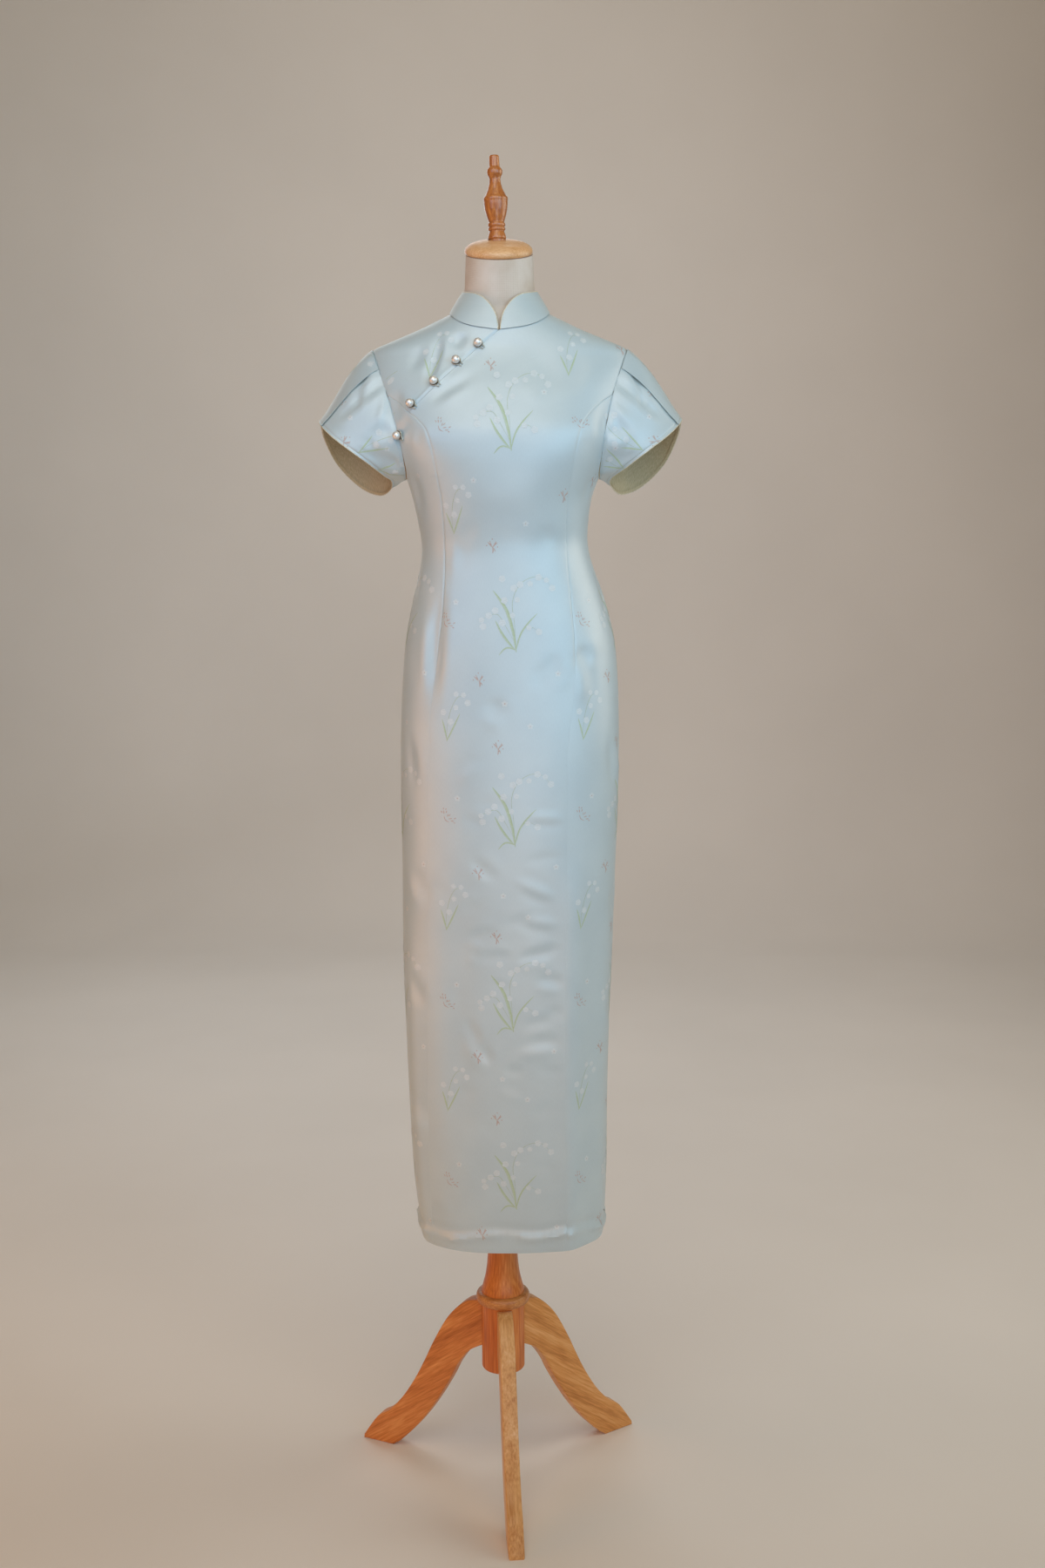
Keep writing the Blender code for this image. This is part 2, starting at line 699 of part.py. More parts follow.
def pearl(name, button):
    turn, height = front_place(button)
    centre = surface(turn, height) + normal(turn, height) * (CLOTH + SEAM + PEARL / 2)
    tool = bmesh.new()
    bmesh.ops.create_uvsphere(tool, u_segments=12, v_segments=8, radius=PEARL / 2)
    bmesh.ops.translate(tool, vec=centre, verts=tool.verts)
    return new_object(name, tool, PEARL_COAT)


def loop_path(button):
    """A teardrop of cord round the foot of the pearl, drawn together at the placket side."""
    turn, height = front_place(button)
    out = normal(turn, height)
    middle = surface(turn, height) + out * (CLOTH + SEAM + LOOP_CORD / 2 + LOOP_LIFT)
    aside = Vector((1, 0, 0)) - out * out.x
    aside.normalize()
    upward = out.cross(aside)
    tail = (aside * 0.75 - upward * 0.66).normalized()
    side = out.cross(tail)
    path = []
    steps = 11
    for k in range(steps + 1):
        angle = math.radians(LOOP_MOUTH + (360 - 2 * LOOP_MOUTH) * k / steps)
        path.append(middle + (tail * math.cos(angle) + side * math.sin(angle)) * LOOP_RADIUS)
    knot = middle + tail * LOOP_TAIL
    return [knot + side * LOOP_GAP / 2] + path + [knot - side * LOOP_GAP / 2]


def cord_loop(name, button):
    """A tube along the loop's path."""
    path = loop_path(button)
    out = normal(*front_place(button))
    sides = 6
    rings = []
    for k, point in enumerate(path):
        forward = (path[min(k + 1, len(path) - 1)] - path[max(k - 1, 0)]).normalized()
        across = forward.cross(out).normalized()
        rings.append([
            point
            + (across * math.cos(math.tau * s / sides) + out * math.sin(math.tau * s / sides))
            * (LOOP_CORD / 2)
            for s in range(sides)
        ])
    return rings_solid(name, rings, SATIN)


# ---------------------------------------------------------------- dress form


def form_clearance(turn, height):
    """How far inside the garment surface the form lies here."""
    to_side = ease((abs(math.sin(math.radians(turn))) - 0.80) / 0.18)
    plate = to_side * ease((height - 1500) / 60) * ease((1712 - height) / 24)
    return (
        FORM_CLEARANCE
        + FORM_DRAW_IN * ease((1700 - height) / 120)
        + COLLAR_DRAW_IN * ease((height - 1712) / 20)
        + ARM_PLATE_INSET * plate
    )


def form_body():
    """The torso keeps inside the dress; its shoulders carry the shoulder seams."""
    sides = 32
    rings = []
    heights = (FORM_BASE,) + tuple(h for h in LOWER_ROWS if h > FORM_BASE + 20)
    heights += tuple(h for h in ARMHOLE_ROWS if h > CORNER) + SHOULDER_ROWS + (1764,)
    for height in heights:
        ring = []
        for s in range(sides):
            turn = 360 * s / sides
            ring.append(surface(turn, height) - normal(turn, height) * form_clearance(turn, height))
        rings.append(ring)
    for cut in NECK_CUTS:
        slope = math.tan(math.radians(cut.lean))
        ring = []
        for s in range(sides):
            angle = math.tau * s / sides
            depth = -cut.depth * math.cos(angle)
            x = NECK_MIDDLE + cut.half * math.sin(angle)
            ring.append(Vector((x, depth, cut.height + slope * depth)))
        rings.append(ring)
    return rings_solid("form_body", rings, LINEN)


def turned(name, profile, sides, finish):
    rings = []
    for point in profile:
        count = 1 if point.radius == 0 else sides
        rings.append([
            Vector((
                point.radius * math.cos(math.tau * s / sides),
                point.radius * math.sin(math.tau * s / sides),
                point.height,
            ))
            for s in range(count)
        ])
    return rings_solid(name, rings, finish)


def place(made, x=0.0, y=0.0, z=0.0, lean=0.0, tip=0.0):
    """Stands a piece at its place, leaning forward or tipped to the wearer's left."""
    made.location = (x * MM, y * MM, z * MM)
    made.rotation_euler = (math.radians(lean), math.radians(tip), 0)
    return made


def cut_with(made, cutter):
    """Takes the cutter's shape out of a piece and hides the cutter."""
    cutter.hide_render = True
    cutter.display_type = "WIRE"
    boolean = made.modifiers.new("seat", "BOOLEAN")
    boolean.operation = "DIFFERENCE"
    boolean.object = cutter
    return made


def neck_cap():
    cap = place(turned("neck_cap", CAP, 32, BEECH), *CAP_PLACE, lean=CAP_LEAN)
    low, high = -BORE_DEPTH, 20
    bore = (Turned(0, low), Turned(BORE_RADIUS, low), Turned(BORE_RADIUS, high), Turned(0, high))
    cutter = place(turned("finial_bore", bore, 24, BEECH), *FINIAL_PLACE, tip=FINIAL_TIP)
    return cut_with(cap, cutter)


def finial():
    return place(turned("finial", FINIAL, 16, TEAK), *FINIAL_PLACE, tip=FINIAL_TIP)


def leg(name, turn):
    """A board with the leg's outline, its end hollowed to sit round the hub."""
    tool = bmesh.new()
    ahead = Vector((math.sin(math.radians(turn)), -math.cos(math.radians(turn)), 0))
    across = Vector((-ahead.y, ahead.x, 0))
    outline = [ahead * p.out + Vector((0, 0, p.height)) - across * LEG_BOARD / 2 for p in LEG]
    face = tool.faces.new([tool.verts.new(point) for point in outline])
    grown = bmesh.ops.extrude_face_region(tool, geom=[face])
    moved = [item for item in grown["geom"] if isinstance(item, bmesh.types.BMVert)]
    bmesh.ops.translate(tool, vec=across * LEG_BOARD, verts=moved)
    board = new_object(name, tool, PINE)
    seat = (Turned(0, 0), Turned(HUB_RADIUS + SEAM, 0), Turned(HUB_RADIUS + SEAM, 200), Turned(0, 200))
    cutter = place(turned(name + "_seat", seat, 48, PINE), z=120)
    return cut_with(board, cutter)


# ---------------------------------------------------------------- assembly


def stand_on_origin(pieces):
    """Hangs every piece on one empty, moved so that the model stands centred over the origin."""
    root = bpy.data.objects.new("cheongsam_on_form", None)
    bpy.context.scene.collection.objects.link(root)
    bpy.context.view_layer.update()
    corners = []
    for piece in pieces:
        corners += [piece.matrix_world @ vertex.co for vertex in piece.data.vertices]
    for made in list(bpy.context.scene.objects):
        if made is not root:
            made.parent = root
    root.location = [-(min(c[a] for c in corners) + max(c[a] for c in corners)) / 2 for a in (0, 1)] + [0]


def main():
    for made in list(bpy.data.objects):
        bpy.data.objects.remove(made, do_unlink=True)
    pieces = [
        front_panel(),
        front_yoke_right(),
        side_front("side_front_right", -1),
        side_front("side_front_left", 1),
        back("back_left", 1),
        back("back_right", -1),
        collar(),
    ]
    for side, word in ((-1, "right"), (1, "left")):
        pieces.append(petal("sleeve_front_" + word, side, behind=False))
        pieces.append(petal("sleeve_back_" + word, side, behind=True))
    for number, button in enumerate(BUTTONS, 1):
        pieces.append(pearl(f"pearl_button_{number}", button))
        pieces.append(cord_loop(f"button_loop_{number}", button))
    pieces += [form_body(), neck_cap(), finial()]
    pieces.append(place(turned("column", COLUMN, 24, PINE), z=COLUMN_HEIGHT))
    pieces.append(place(turned("collar_ring", RING, 28, PINE), z=RING_HEIGHT))
    pieces.append(place(turned("hub", HUB, 24, PINE), z=HUB_HEIGHT))
    for number in range(3):
        pieces.append(leg(f"leg_{number + 1}", LEG_TURN + 120 * number))
    stand_on_origin(pieces)


main()
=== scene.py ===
"""Looks of a floor-length cheongsam with petal sleeves, worn by a limbless dress form on a tripod.

Sizes are in millimetres about the column's axis until world() turns them into metres. X runs to the
wearer's left, Y to the back and Z up. The cloth repeats the garment surface that the solids stand on
and adds its creases, puckers, woven sprays, piping and stitches.
"""

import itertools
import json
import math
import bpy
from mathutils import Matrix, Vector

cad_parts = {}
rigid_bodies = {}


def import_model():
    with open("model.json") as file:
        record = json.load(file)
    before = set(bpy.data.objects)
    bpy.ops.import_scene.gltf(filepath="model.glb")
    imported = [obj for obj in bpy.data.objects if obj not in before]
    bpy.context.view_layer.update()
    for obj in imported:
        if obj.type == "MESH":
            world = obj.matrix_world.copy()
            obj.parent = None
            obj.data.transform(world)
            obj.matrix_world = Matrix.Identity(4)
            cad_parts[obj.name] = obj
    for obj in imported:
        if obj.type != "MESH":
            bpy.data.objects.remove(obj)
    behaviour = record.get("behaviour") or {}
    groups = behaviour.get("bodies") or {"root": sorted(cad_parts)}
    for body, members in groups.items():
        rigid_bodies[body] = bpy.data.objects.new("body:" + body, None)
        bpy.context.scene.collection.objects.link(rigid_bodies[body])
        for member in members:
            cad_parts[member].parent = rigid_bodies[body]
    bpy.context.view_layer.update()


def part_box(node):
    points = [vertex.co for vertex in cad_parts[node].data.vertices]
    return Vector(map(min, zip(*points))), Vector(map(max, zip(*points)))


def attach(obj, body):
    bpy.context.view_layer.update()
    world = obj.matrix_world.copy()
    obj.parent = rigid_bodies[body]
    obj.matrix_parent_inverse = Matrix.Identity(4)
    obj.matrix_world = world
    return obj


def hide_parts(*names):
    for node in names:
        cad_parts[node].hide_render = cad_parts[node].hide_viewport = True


bl_info = {
    "name": "Cheongsam on a dress form",
    "version": (1, 0, 0),
    "blender": (4, 5, 0),
    "location": "View3D > Sidebar > Cheongsam",
    "description": "Builds the cloth, buttons, dress form and stand of a petal-sleeved cheongsam",
    "category": "Object",
}

import bmesh
import bpy
import numpy as np
from mathutils import Matrix, Vector
from mathutils.bvhtree import BVHTree

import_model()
COLUMN_LOW, COLUMN_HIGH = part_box("column")
AXIS = np.array([(COLUMN_LOW.x + COLUMN_HIGH.x) * 500, (COLUMN_LOW.y + COLUMN_HIGH.y) * 500, 0.0])

CLOTH = 1.6  # outer face of the dress panels over the garment surface
PETAL = 1.4
COLLAR_WALL = 2.0
SEAM = 0.2
HEM, FORM_BASE, UNDERARM, ARM_LOW, CORNER, JUNCTION = 386, 1020, 1527, 1535, 1615, 1640
PETAL_LAP, ARM_HIGH, SHOULDER_TIP, NECK_POINT, SURFACE_TOP = 1676, 1692, 1705, 1755, 1764
MIDDLE_X = 5  # middle of the shoulders, neck and sleeves
# the stage: distance of the wall, radius of its bend, half the width of the floor, top of the wall
WALL_Y, BEND, STAGE_HALF, WALL_TOP = 4200, 900, 9000, 7000
# the camera: its place in metres, and how far it looks down and is rolled, in degrees
CAMERA_PLACE, LOOKS_DOWN, ROLLED = (0.034, -2.54, 1.464), 8.531, 0.28

# ---------------------------------------------------------------- tables of the garment

# height, middle x, middle y, half width, reach to the front, reach to the back, squareness
SECTIONS = (
    (386, 15, 26, 138, 98, 98, 2.5),
    (430, 14, 24, 142, 100, 100, 2.5),
    (500, 12, 22, 146, 102, 102, 2.5),
    (620, 10, 18, 149, 104, 106, 2.5),
    (740, 10, 14, 152, 106, 110, 2.5),
    (850, 11, 10, 155, 107, 113, 2.4),
    (950, 13, 6, 156, 109, 116, 2.4),
    (1060, 15, 2, 158, 110, 120, 2.3),
    (1160, 16, 0, 158, 109, 124, 2.3),
    (1240, 17, 0, 155, 107, 118, 2.2),
    (1300, 17, 0, 149, 104, 105, 2.2),
    (1360, 15, 0, 135, 98, 90, 2.2),
    (1410, 12, 0, 121, 94, 81, 2.2),
    (1436, 10, 0, 118, 95, 80, 2.2),
    (1467, 8, 0, 121, 103, 86, 2.3),
    (1500, 7, 0, 127, 113, 94, 2.3),
    (1530, 8, 0, 137, 119, 100, 2.4),
    (1560, 8, 0, 151, 123, 104, 2.4),
    (1590, 7, 0, 163, 122, 105, 2.4),
    (1620, 6, 0, 174, 113, 104, 2.3),
    (1650, 5, 0, 184, 101, 99, 2.2),
    (1675, 5, 0, 189, 88, 90, 2.1),
    (1692, 5, 0, 187, 80, 82, 2.0),
    (1705, 5, 0, 179, 75, 77, 2.0),
    (1718, 5, 0, 150, 72, 73, 2.0),
    (1731, 5, 0, 118, 69, 70, 2.0),
    (1744, 5, 0, 90, 65, 67, 2.0),
    (1755, 5, 0, 68, 60, 65, 2.0),
    (1764, 5, 0, 59, 55, 62, 2.0),
)
# height and reach of the armhole; height and reach of the princess seams on each side
ARMHOLE = (
    (1527, 135.7), (1535, 134.5), (1550, 136), (1570, 139), (1590, 143), (1615, 149.5), (1640, 156),
    (1658, 162), (1676, 168.5), (1692, 174), (1705, 179),
)
PRINCESS = (
    (386, 118, 81), (700, 117, 83), (1060, 115, 82), (1148, 113, 82), (1220, 110, 89), (1290, 103, 91),
    (1350, 92, 88), (1417, 84, 86), (1490, 82, 90), (1530, 88, 94), (1562, 93, 99), (1590, 101, 107),
    (1602, 110, 113), (1615, 125, 124), (1629, 140, 140), (1640, 156, 156),
)
PLACKET = (
    (1615, -119), (1650, -83), (1678, -52), (1702, -25), (1717, -7), (1727, 5),
)
NECK_HALF = 68
NECKLINE = (
    (0, 1727), (30, 1732), (50, 1738), (70, 1747), (90, 1755), (110, 1758), (130, 1761), (150, 1763),
    (180, 1764),
)
# turn, height, half width and depth of the collar's upper ring; turn and share reached by its edge
COLLAR_TOP = ((0, 1773, 51.2, 55), (90, 1786, 51.2, 54), (180, 1796, 51.2, 54))
COLLAR_EDGE = (
    (1.5, 0.12), (4, 0.4), (8, 0.58), (14, 0.75), (24, 0.9), (36, 0.98), (50, 1.0), (180, 1.0),
)
COLLAR_FLARE = 0.35
# turn round the sleeve, distance out from the middle, depth and height of its hem
SLEEVE_HEM = (
    (0, 256, 0, 1608), (30, 252, -32, 1600), (60, 234, -56, 1583), (90, 207, -66, 1563),
    (120, 183, -56, 1546), (150, 165, -32, 1533), (180, 157, 3, 1525), (210, 163, 34, 1513),
    (240, 179, 58, 1505), (270, 208, 72, 1516), (300, 238, 64, 1546), (330, 254, 38, 1582),
    (360, 256, 0, 1608),
)
SLEEVE_CAP, SLEEVE_MIDDLE, TUCK_START, TUCK_RUN = 6, (190, 0, 1620), 110, 40
# turn, lowest, highest, spread in degrees and rise of the main folds
FOLDS = (
    (-37, 1480, 1650, 24, 6), (37, 1480, 1650, 24, 6), (33, 300, 1010, 9, 4.5), (54, 300, 980, 12, -2.5),
    (-62, 330, 900, 10, 4), (-22, 520, 980, 12, -3), (-43, 1175, 1370, 6, -4), (37, 1230, 1340, 7, -3),
    (180, 300, 960, 16, -6), (143, 300, 1000, 11, 5), (218, 300, 1000, 11, 5),
)
FOLD_FADE = 120
BUTTONS = (
    (-24, 1708), (-54, 1683), (-84, 1655), (-115, 1626), (-131, 1586),
)

# Creases: x in the front view, or turn, and height of each end, then the bow to one side, the width
# and the rise (below 0 a trough).
FRONT_CREASES = (
    (-78, 1731, -98, 1645, 6, 8, -3.6), (-70, 1729, -91, 1650, 6, 5, 1.5),
    (-100, 1716, -122, 1668, 4, 10, -1.8), (-44, 1726, -61, 1702, 2, 9, -2.4),
    (-30, 1664, -92, 1623, -5, 9, -2.2), (-22, 1689, -72, 1646, -2, 10, 0.9),
    (43, 1693, 94, 1638, 6, 17, -1.6), (123, 1699, 102, 1635, -5, 14, -1.3),
    (30, 1655, 66, 1620, 4, 12, 0.8), (-115, 1612, -136, 1584, 2, 7, -2.4),
    (-110, 1608, -124, 1574, 2, 7, -2.1), (-104, 1602, -108, 1568, 2, 8, -1.6),
    (-136, 1650, -131, 1603, -3, 9, -2.0), (152, 1644, 139, 1572, 4, 11, -1.6),
    (128, 1618, 133, 1565, 3, 11, 1.0), (-74, 1393, -91, 1204, -5, 12, -2.6),
    (-103, 1350, -107, 1222, 3, 11, 1.8), (-60, 1446, -63, 1380, 2, 9, 1.3),
    (-30, 1470, -52, 1440, 2, 10, -0.9), (60, 1462, 78, 1430, 2, 10, -1.0),
    (111, 1291, 133, 1262, 2, 12, -2.4), (111, 1272, 117, 1203, 3, 11, 2.0),
    (66, 1284, 88, 1240, 3, 11, -1.4), (59, 1274, 62, 1226, 2, 16, -1.5), (-8, 1226, -9, 1182, 2, 14, -1.7),
    (-26, 1200, 10, 1172, 3, 13, 1.2), (-60, 1096, -15, 1127, 3, 9, 0.8),
    (-52, 1055, -18, 1037, -2, 8, -0.8), (-40, 1072, 34, 1062, 3, 8, -0.5),
    (29, 1044, 98, 1037, -2, 7, -0.7), (39, 1055, 96, 1050, -2, 7, 0.6), (-43, 998, 4, 958, -4, 9, -1.1),
    (-49, 983, -16, 955, -3, 8, 0.6), (15, 966, 86, 933, -4, 8, 0.9), (23, 950, 83, 920, -4, 8, -0.9),
    (33, 986, 96, 990, 3, 8, -0.6), (-57, 913, -22, 922, 2, 8, -0.7), (28, 909, 93, 892, -3, 8, 0.9),
    (21, 896, 83, 881, -3, 7, -0.8), (-49, 869, -2, 886, 2, 8, -1.2), (-53, 855, -17, 859, 3, 8, 0.8),
    (-2, 888, 68, 905, 4, 8, -0.7), (-36, 839, 23, 846, 3, 8, -1.1), (23, 846, 93, 860, -3, 8, -1.2),
    (15, 831, 83, 840, -3, 8, 0.7), (-50, 845, -28, 836, -2, 7, 0.8), (48, 815, 96, 803, 2, 8, -0.9),
    (43, 799, 93, 787, 2, 8, 0.9), (-18, 805, 20, 792, 3, 8, -0.6), (63, 767, 96, 758, -2, 8, -0.8),
    (-51, 756, -24, 712, -4, 9, -1.9), (-25, 717, -9, 683, -3, 8, -1.2), (-54, 724, -16, 669, -5, 9, 1.7),
    (27, 739, 83, 748, 3, 9, -0.8), (37, 717, 93, 716, 2, 9, -1.0), (14, 694, 93, 700, 3, 9, 1.2),
    (1, 675, 37, 667, 2, 8, -0.9), (47, 680, 96, 667, -2, 8, -0.6), (-71, 642, -35, 628, 3, 9, -0.7),
    (-9, 643, 37, 629, -3, 9, 0.7), (-35, 591, -2, 564, 4, 10, -0.7), (39, 602, 83, 614, 3, 9, -0.6),
    (-72, 533, -36, 501, 5, 10, 0.6), (36, 531, 88, 521, -3, 9, -0.7), (-26, 487, 31, 479, 3, 8, -0.6),
    (-99, 475, -68, 447, -4, 10, 0.9), (54, 473, 93, 485, 3, 9, 0.7), (-94, 800, -69, 762, 4, 10, 0.6),
    (-97, 956, -72, 920, 4, 10, -0.6), (6, 1722, 6, 1560, 0, 5, 0.3),
)
ROUND_CREASES = (
    (-66, 1170, -58, 1080, 5, 12, -2.0), (-72, 960, -52, 905, 6, 13, 2.2),
    (-70, 820, -50, 758, 6, 13, -2.4), (-72, 610, -54, 560, 5, 13, 2.0), (62, 1165, 70, 1080, -4, 10, -2.0),
    (74, 1150, 78, 1062, 4, 10, 1.6), (66, 930, 84, 888, 5, 12, -2.0), (60, 745, 80, 700, 5, 13, 2.1),
    (84, 1392, 70, 1330, 5, 11, -1.5), (-84, 1410, -70, 1352, -5, 11, -1.6),
    (-60, 1545, -66, 1476, 3, 10, -1.5), (-72, 1540, -76, 1470, 3, 10, 1.2),
    (62, 1545, 68, 1480, -3, 10, -1.3), (96, 1130, 112, 1030, 6, 13, -2.2),
    (100, 940, 122, 880, -6, 13, 2.2), (98, 760, 118, 690, 6, 14, -2.6), (100, 560, 120, 505, -5, 13, 2.0),
    (-98, 1120, -116, 1012, -6, 13, -2.2), (-101, 905, -124, 850, 6, 13, 2.3),
    (-99, 700, -120, 640, -6, 14, -2.5), (108, 1420, 128, 1372, 4, 11, -1.5),
    (-108, 1410, -130, 1366, -4, 11, -1.5), (138, 1340, 150, 1268, 4, 13, -1.8),
    (-140, 1330, -152, 1262, -4, 13, -1.8), (156, 1520, 158, 1262, 1, 5, -1.5),
    (-156, 1520, -158, 1262, -1, 5, -1.5), (165, 1450, 150, 1432, 3, 10, -1.2),
    (-165, 1462, -148, 1444, -3, 10, -1.2), (168, 1420, 148, 1402, 3, 10, 1.0),
    (-168, 1428, -150, 1408, -3, 10, 1.0), (128, 1650, 118, 1570, 6, 13, -1.6),
    (-128, 1655, -118, 1578, -6, 13, -1.6), (142, 1600, 160, 1556, 4, 13, -1.2),
    (-144, 1612, -162, 1566, -4, 13, -1.2), (160, 930, -168, 892, 6, 13, -2.3),
    (150, 840, 176, 812, 5, 13, 2.4), (-176, 770, -150, 742, 5, 13, -2.4),
    (158, 660, -174, 622, 6, 14, -2.6), (-170, 560, -146, 520, 5, 13, 2.2),
    (146, 1120, 158, 1040, 4, 14, -2.0), (-146, 1100, -158, 1010, -4, 14, -2.0),
)


# ---------------------------------------------------------------- garment surface


def ease(share):
    """A smooth step from 0 to 1."""
    share = np.clip(share, 0.0, 1.0)
    return share * share * (3 - 2 * share)


def hump(away, width):
    """A bell curve: 1 in the middle, 0.37 at this width from it."""
    return np.exp(-((away / width) ** 2))


def curve_through(keys, values):
    """A smooth curve through the rows of a table, as a function of its key."""
    keys, values = np.array(keys, float), np.array(values, float)
    low = np.maximum(np.arange(len(keys)) - 1, 0)
    high = np.minimum(np.arange(len(keys)) + 1, len(keys) - 1)
    slopes = (values[high] - values[low]) / (keys[high] - keys[low])

    def read(at):
        at = np.clip(np.asarray(at, float), keys[0], keys[-1])
        k = np.clip(np.searchsorted(keys, at, side="right") - 1, 0, len(keys) - 2)
        width = keys[k + 1] - keys[k]
        t = (at - keys[k]) / width
        return (
            (2 * t**3 - 3 * t**2 + 1) * values[k]
            + (t**3 - 2 * t**2 + t) * width * slopes[k]
            + (3 * t**2 - 2 * t**3) * values[k + 1]
            + (t**3 - t**2) * width * slopes[k + 1]
        )

    return read


def columns_of(table):
    keys = [row[0] for row in table]
    return [curve_through(keys, [row[c] for row in table]) for c in range(1, len(table[0]))]


SECTION_AT = columns_of(SECTIONS)
(ARMHOLE_AT,) = columns_of(ARMHOLE)
PRINCESS_RIGHT_AT, PRINCESS_LEFT_AT = columns_of(PRINCESS)
(PLACKET_AT,) = columns_of(PLACKET)
(NECKLINE_AT,) = columns_of(NECKLINE)
COLLAR_HEIGHT_AT, COLLAR_HALF_AT, COLLAR_DEPTH_AT = columns_of(COLLAR_TOP)
(COLLAR_EDGE_AT,) = columns_of(COLLAR_EDGE)
HEM_OUT_AT, HEM_DEPTH_AT, HEM_HEIGHT_AT = columns_of(SLEEVE_HEM)


def fold_rise(turn, height):
    rise = np.zeros(np.shape(turn))
    for middle, low, high, spread, out in FOLDS:
        away = (turn - middle + 180) % 360 - 180
        inside = ease((height - low) / FOLD_FADE) * ease((high - height) / FOLD_FADE)
        rise = rise + out * inside * hump(away, spread)
    return rise


def unit(vectors):
    return vectors / np.maximum(np.linalg.norm(vectors, axis=-1, keepdims=True), 1e-9)


def surface(turn, height):
    """The garment surface: turn is 0 at the front, 90 at the wearer's left side, 180 behind."""
    turn, height = np.broadcast_arrays(np.asarray(turn, float), np.asarray(height, float))
    middle_x, middle_y, half, front, back, square = (read(height) for read in SECTION_AT)
    sine, cosine = np.sin(np.radians(turn)), np.cos(np.radians(turn))
    exponent = 2 / square
    reach = np.where(cosine > 0, front, back)
    across = np.copysign(np.abs(sine) ** exponent, sine)
    ahead = np.copysign(np.abs(cosine) ** exponent, cosine)
    outward = unit(np.stack([across / half, -ahead / reach, np.zeros_like(across)], -1))
    place = np.stack([middle_x + half * across, middle_y - reach * ahead, height], -1)
    return place + outward * fold_rise(turn, height)[..., None]


def normal(turn, height):
    turn, height = np.broadcast_arrays(np.asarray(turn, float), np.asarray(height, float))
    around = surface(turn + 0.5, height) - surface(turn - 0.5, height)
    upward = surface(turn, np.minimum(height + 1, SURFACE_TOP)) - surface(turn, height - 1)
    return unit(np.cross(around, upward))


def turn_at(reach, height, behind=False):
    half, square = SECTION_AT[2](height), SECTION_AT[5](height)
    share = np.minimum(1.0, np.abs(reach) / half)
    turn = np.copysign(np.degrees(np.arcsin(share ** (square / 2))), reach)
    return 180 - turn if behind else turn


def turn_at_x(x, height):
    return turn_at(x - SECTION_AT[0](height), height)


def armhole_turn(height, side, behind=False):
    """side is 1 on the wearer's left and -1 on the right."""
    height = np.asarray(height, float)
    turn = turn_at(ARMHOLE_AT(height), height)
    low = turn_at(ARMHOLE_AT(float(ARM_LOW)), float(ARM_LOW))
    near = 90 - (90 - low) * np.sqrt(np.clip((height - UNDERARM) / (ARM_LOW - UNDERARM), 0, 1))
    turn = np.where(height < ARM_LOW, near, turn)
    turn = np.where(height >= SHOULDER_TIP, 90.0, turn)
    return 180 - side * turn if behind else side * turn


def princess_turn(height, side):
    reach = PRINCESS_LEFT_AT(height) if side > 0 else PRINCESS_RIGHT_AT(height)
    return turn_at(side * reach, height)


def edge_turn(height, side, behind=False):
    """The outer edge of the body: side seam, armhole or shoulder seam."""
    height = np.asarray(height, float)
    at_arm = (height > UNDERARM) & (height < SHOULDER_TIP)
    plain = 180 - side * 90 if behind else side * 90
    return np.where(at_arm, armhole_turn(height, side, behind), plain)


def neck_place(turn):
    """Turn and height of the neckline at this turn round it; 90 and 270 are the neck points."""
    turn = np.asarray(turn, float)
    around = turn % 360
    height = NECKLINE_AT(np.minimum(around, 360 - around))
    reach = NECK_HALF * np.sin(np.radians(turn))
    front, behind = turn_at(reach, height), turn_at(reach, height, behind=True)
    place = np.where((around > 90) & (around < 270), behind, front)
    place = np.where(np.abs(around - 90) < 1e-6, 90.0, place)
    place = np.where(np.abs(around - 270) < 1e-6, np.where(turn > 0, 270.0, -90.0), place)
    return place, height


def placket_place(share):
    height = CORNER + np.asarray(share, float) * (PLACKET[-1][0] - CORNER)
    return turn_at_x(PLACKET_AT(height), height), height


def world(points):
    """Millimetres about the column's axis to metres in the frame."""
    return (np.asarray(points, float) + AXIS) * 0.001


# ---------------------------------------------------------------- creases


CREASES = [(True, *row) for row in FRONT_CREASES] + [(False, *row) for row in ROUND_CREASES]
CREASE_REACH = 3.2  # in widths of the crease


def crease_line(by_x, a, low, b, high, bow):
    """Nine points on the surface from one end of a crease to the other, with its mean direction."""
    share = np.linspace(0, 1, 9)
    height = low + (high - low) * share
    if by_x:
        turn = turn_at_x(a + (b - a) * share, height)
    else:
        turn = a + ((b - a + 180) % 360 - 180) * share
    points, out = surface(turn, height), normal(turn, height)
    aside = unit(np.cross(out, unit(points[-1] - points[0])))
    return points + aside * (bow * np.sin(np.pi * share))[:, None], aside[4], out


def off_line(points, line, aside, outs):
    """How far each point lies to the side of a line on the cloth, and how far along it."""
    best = np.full(len(points), 1e9)
    signed, travel = np.zeros(len(points)), np.zeros(len(points))
    for k in range(len(line) - 1):
        step = line[k + 1] - line[k]
        t = np.clip((points - line[k]) @ step / (step @ step), 0, 1)
        gap = points - (line[k] + t[:, None] * step)
        gap -= outs[k] * (gap @ outs[k])[:, None]
        size = np.linalg.norm(gap, axis=1)
        closer = size < best
        best = np.where(closer, size, best)
        signed = np.where(closer, gap @ aside, signed)
        travel = np.where(closer, (k + t) / (len(line) - 1), travel)
    return np.copysign(best, signed), travel


